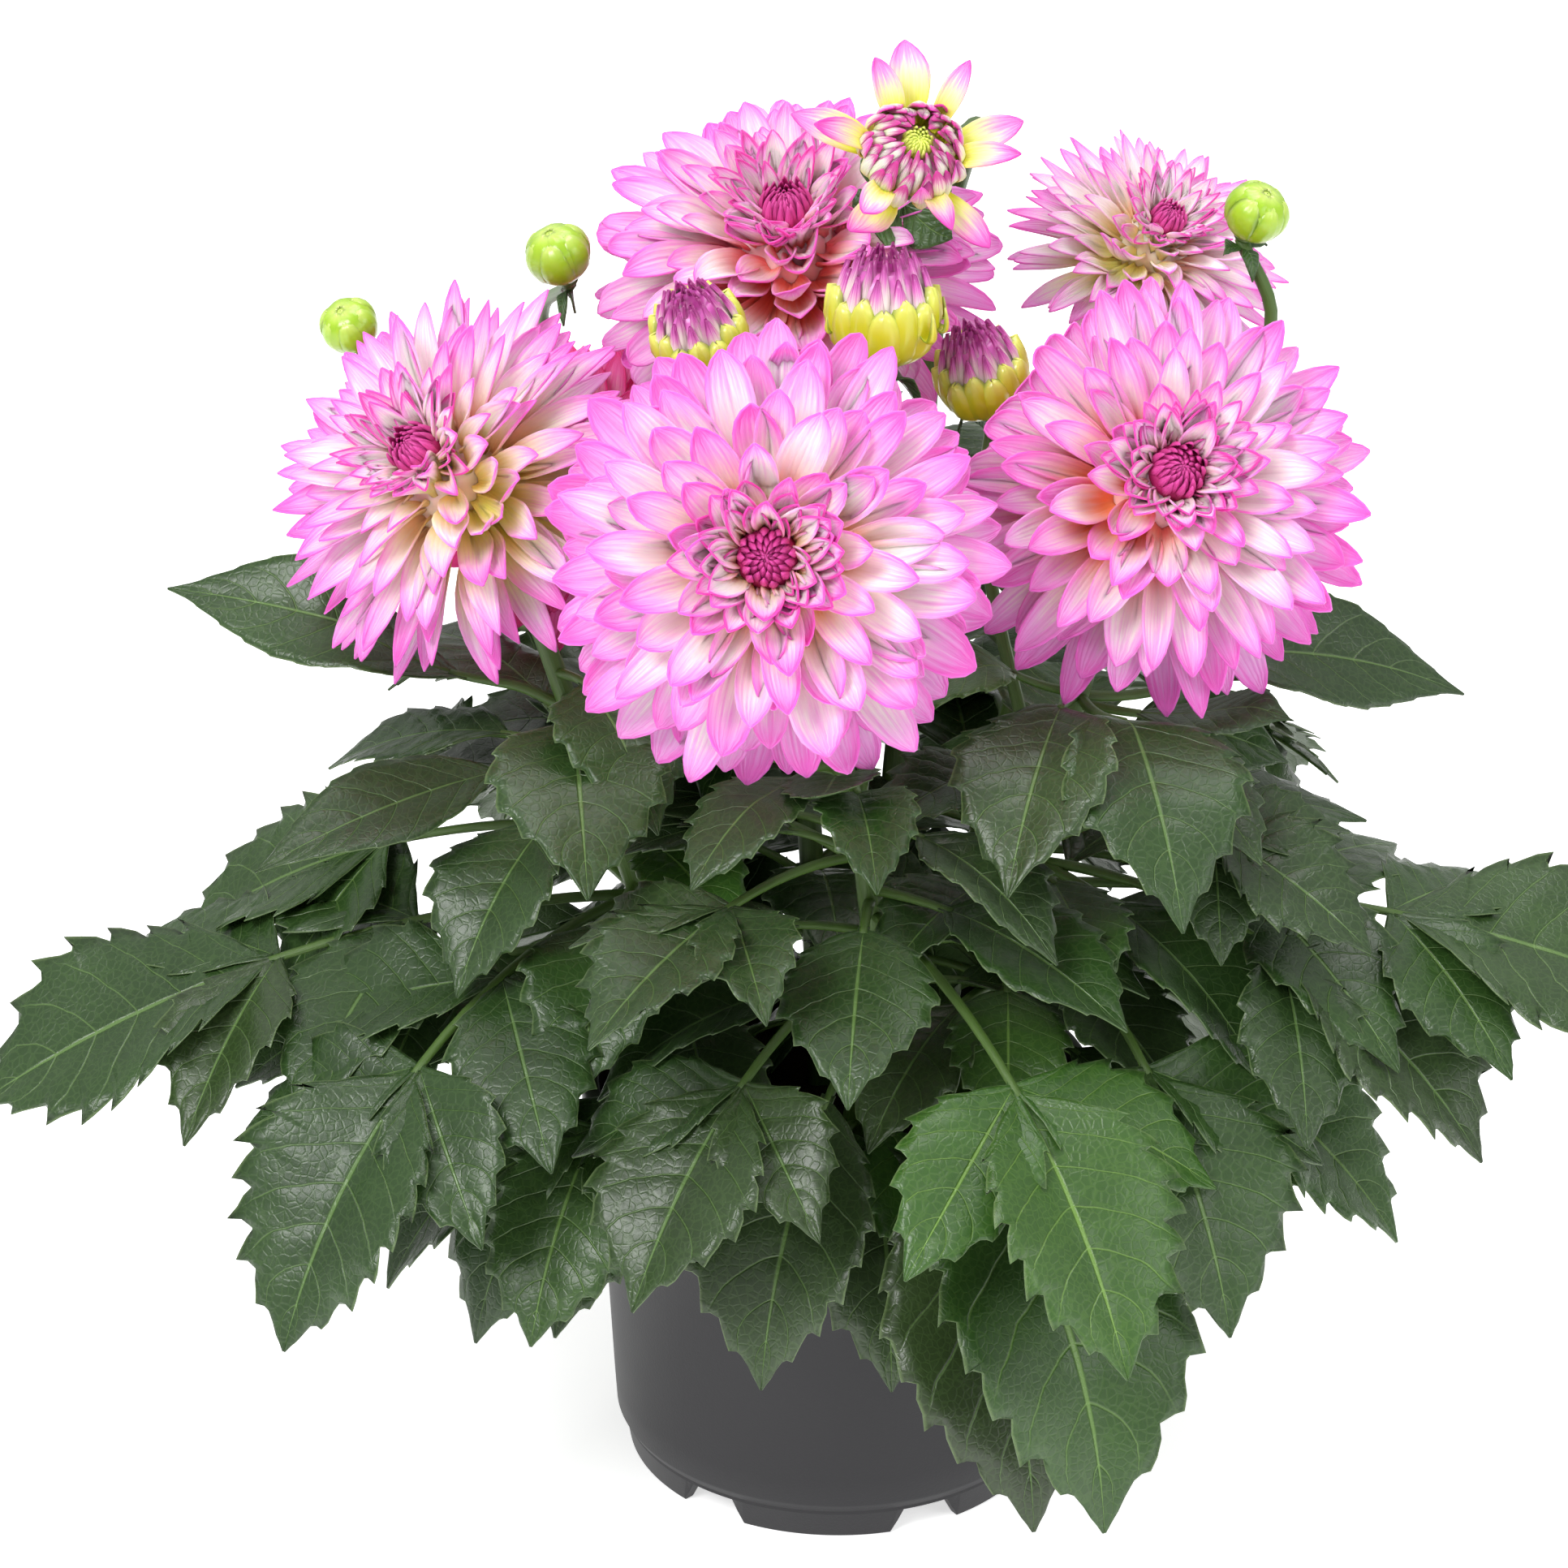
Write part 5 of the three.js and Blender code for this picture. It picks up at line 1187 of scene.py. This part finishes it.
def makeSepalSkin():
    skin = Skin("sepalSkin", 0.28, 0.5, coat=0.35, glow=0.1)
    t, w, tone = skin.marks("place")
    clouds = skin.noise(skin.where(), 160, 3)
    edge = skin.sum("ABSOLUTE", w)
    skin.colour(skin.coats((128, 176, 20), (clouds, (176, 208, 42)),
                           (skin.fade(tone, 0.3, 0.8), (214, 210, 40)),
                           (skin.times(skin.fade(edge, 0.55, 1), 0.75), (96, 128, 14)),
                           (skin.times(skin.fade(t, 0.75, 1.0), 0.4), (232, 240, 150))))
    lines = skin.sum("SINE", skin.times(w, 14))
    skin.bump(skin.timesPlus(lines, 0.5, clouds), 0.25, 0.3 * mm)
    return skin


def makeStripedSkin():
    skin = Skin("stripedSkin", 0.35, 0.5, coat=0.2, glow=0.1)
    t, w, tone = skin.marks("place")
    draw, _, _ = skin.marks("trait")
    streakPlace = skin.join(skin.timesPlus(w, 5, skin.times(draw, 31)), skin.times(t, 0.8), draw)
    streaks = skin.noise(streakPlace, 2.5, 3)
    place = skin.timesPlus(skin.less(streaks, 0.5), 0.45, t)
    skin.colour(skin.coats((226, 228, 110), (skin.fade(place, 0.05, 0.4), (248, 238, 230)),
                           (skin.fade(place, 0.6, 0.9), (216, 104, 190)),
                           (skin.fade(place, 0.86, 1.0), (150, 34, 118)),
                           (skin.times(tone, 0.7), (138, 20, 90))))
    lines = skin.sum("SINE", skin.times(w, 12))
    skin.bump(skin.timesPlus(lines, 0.5, streaks), 0.3, 0.3 * mm)
    return skin


def makeBuds():
    skins = [makeSepalSkin(), makeStripedSkin()]
    for number, (name, bud) in enumerate(buds.items()):
        at, size = np.array(bud["at"]) * mm, bud["radius"] * mm
        axes = axesOf(bud["face"])
        draws = np.random.default_rng(400 + number)
        heap = newHeap()
        kind = "open" if bud["open"] else "closed"
        outline = budShapes[kind]
        body = np.stack(alongOutline(outline + [(0.02, 1.1)] * bud["open"],
                                     np.linspace(0, 1, 20)), -1)
        addTurned(heap, at, axes, size * (0.9 if bud["open"] else 0.96), body,
                  (0.5, 0.3, 1), 1 if bud["open"] else 0)
        for row in budShapes[kind + "Rows"]:
            growScales(heap, at, size, axes, budShapes["striped"] if row[-1] else outline, row,
                       draws)
        growCurls(heap, at, size, axes, budShapes["curls"].get(name, []), draws)
        finishPiece("scales_" + name, heap, skins, "striped_bud" if bud["open"] else "green_bud",
                    name)


makeBuds()
print("buds ready")

potSize = {
    "footRadius": 63.5, "footRing": 3.5, "footHeight": 9.5, "wallFootRadius": 67.2,
    "wallFootZ": 12.5, "wallTopRadius": 72.6, "wall": 2.2, "lipRadius": 76, "lipHeight": 9,
    "height": 121, "floorUnder": 5.5, "floorTop": 8.5, "notches": 6, "notchFirstDeg": -126,
    "notchWidth": 22, "notchTopWidth": 14, "notchHeight": 7.5, "columns": 180,
    "creaseDeg": 38,
}


def makePotSkin():
    skin = Skin("potPlastic", 0.5, 0.45)
    where = skin.where()
    clouds = skin.noise(where, 14, 4)
    grain = skin.noise(where, 1400, 2)
    skin.colour(skin.blend(clouds, (25, 24, 27), (35, 34, 38)))
    skin.put(skin.timesPlus(clouds, 0.2, 0.42), skin.inputs["Roughness"])
    skin.bump(skin.timesPlus(clouds, 0.6, grain), 0.2, 0.3 * mm)
    return skin


def makePot():
    s = potSize
    foot, top, wallFoot = s["footRadius"], s["height"], s["wallFootRadius"]
    wallTop, lip, lipFoot = s["wallTopRadius"], s["lipRadius"], s["height"] - s["lipHeight"]
    ring = foot - s["footRing"]
    profile = [
        (1, s["floorUnder"]), (ring - 1, s["floorUnder"]), (ring - 0.2, 0.3), (ring + 0.3, 0),
        (foot - 0.5, 0), (foot, 0.5), (foot + 1.5, s["footHeight"]),
        (foot + 2.0, s["footHeight"] + 0.5), (wallFoot - 0.5, s["wallFootZ"] - 0.5),
        (wallFoot, s["wallFootZ"] + 0.4), (wallFoot + 0.5, s["wallFootZ"] + 9), (70, 70),
        (wallTop - 0.2, lipFoot - 1), (wallTop + 0.4, lipFoot), (lip - 0.6, lipFoot + 0.8),
        (lip, lipFoot + 1.6), (lip, top - 1.4), (lip - 0.7, top - 0.4), (lip - 1.6, top),
        (wallTop - s["wall"] + 1, top), (wallTop - s["wall"] + 0.5, top - 0.5),
        (wallFoot - s["wall"], s["floorTop"]), (1, s["floorTop"])]
    middles = s["notchFirstDeg"] + 360 * np.arange(s["notches"]) / s["notches"]
    halves = np.degrees(np.arcsin(np.array([s["notchWidth"], s["notchTopWidth"]]) / 2 / foot))
    corners = (middles[:, None, None] + np.array([-1, 1])[:, None] * halves).ravel() % 360
    turn = np.concatenate([np.linspace(0, 360, s["columns"], endpoint=False), corners])
    turn = np.sort(np.unique(np.round(turn, 3)))
    off = np.min(np.abs((turn[:, None] - middles + 180) % 360 - 180), 1)
    across = foot * np.sin(np.radians(np.minimum(off, 30))) * 2
    slope = (s["notchWidth"] - across) / (s["notchWidth"] - s["notchTopWidth"])
    cut = np.clip(slope, 0, 1) * s["notchHeight"]
    a = np.radians(turn)
    rings = []
    for r, z in profile:
        isFoot = z < s["notchHeight"] and r > foot - 6
        height = np.maximum(z, cut) if isFoot else z
        rings.append(stack3(r * np.cos(a), r * np.sin(a), height) * mm)
    rings.append(rings[0])
    heap = newHeap()
    addRings(heap, np.array(rings), np.zeros(3), np.zeros(3), 0)
    pot = finishPiece("potShell", heap, [makePotSkin()], "pot_plastic", "pot")
    crease = pot.modifiers.new("edges", "EDGE_SPLIT")
    crease.split_angle = math.radians(potSize["creaseDeg"])


makePot()
print("pot ready")

crumbs = {"count": 420, "spread": 66, "least": 0.7, "more": 1.6, "low": 103, "heap": 6,
          "heapRadius": 70, "sides": 6, "uneven": 0.5, "flat": 0.7,
          "profile": ((-0.9, 0.3), (-0.4, 0.95), (0.3, 1.0), (0.9, 0.3))}  # height and radius


def makeSoil():
    skin = Skin("soilSkin", 0.95, 0.2)
    where = skin.where()
    grain = skin.noise(where, 260, 5, 0.7)
    lumps = skin.noise(where, 60, 3)
    skin.colour(skin.coats((20, 14, 9), (grain, (62, 44, 30)),
                           (skin.times(lumps, 0.4), (34, 25, 18))))
    skin.bump(skin.timesPlus(lumps, 0.8, grain), 1.0, 3 * mm)
    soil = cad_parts["soil"]
    soil.data.materials.clear()
    soil.data.materials.append(skin.material)
    draws = np.random.default_rng(9)
    heap = newHeap()
    turn = np.linspace(0, fullTurn, crumbs["sides"], endpoint=False)
    for _ in range(crumbs["count"]):
        away = crumbs["spread"] * math.sqrt(draws.random()) * mm
        spin = fullTurn * draws.random()
        size = (crumbs["least"] + crumbs["more"] * draws.random() ** 2) * mm
        height = (crumbs["low"] + crumbs["heap"] * (1 - away / mm / crumbs["heapRadius"])) * mm
        at = np.array([away * math.cos(spin), away * math.sin(spin), height])
        rows = []
        for level, r in crumbs["profile"]:
            away = r * (1 + crumbs["uneven"] * (draws.random(len(turn)) - 0.5))
            rows.append(at + size * stack3(np.cos(turn) * away, np.sin(turn) * away,
                                           level * crumbs["flat"]))
        addRings(heap, np.array(rows), np.zeros(3), np.zeros(3), 0)
    finishPiece("soilCrumbs", heap, [skin], "soil")


makeSoil()
print("soil ready")

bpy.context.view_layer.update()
faces = sum(len(o.data.polygons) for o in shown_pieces() if o.type == "MESH")
print("faces in all:", faces)
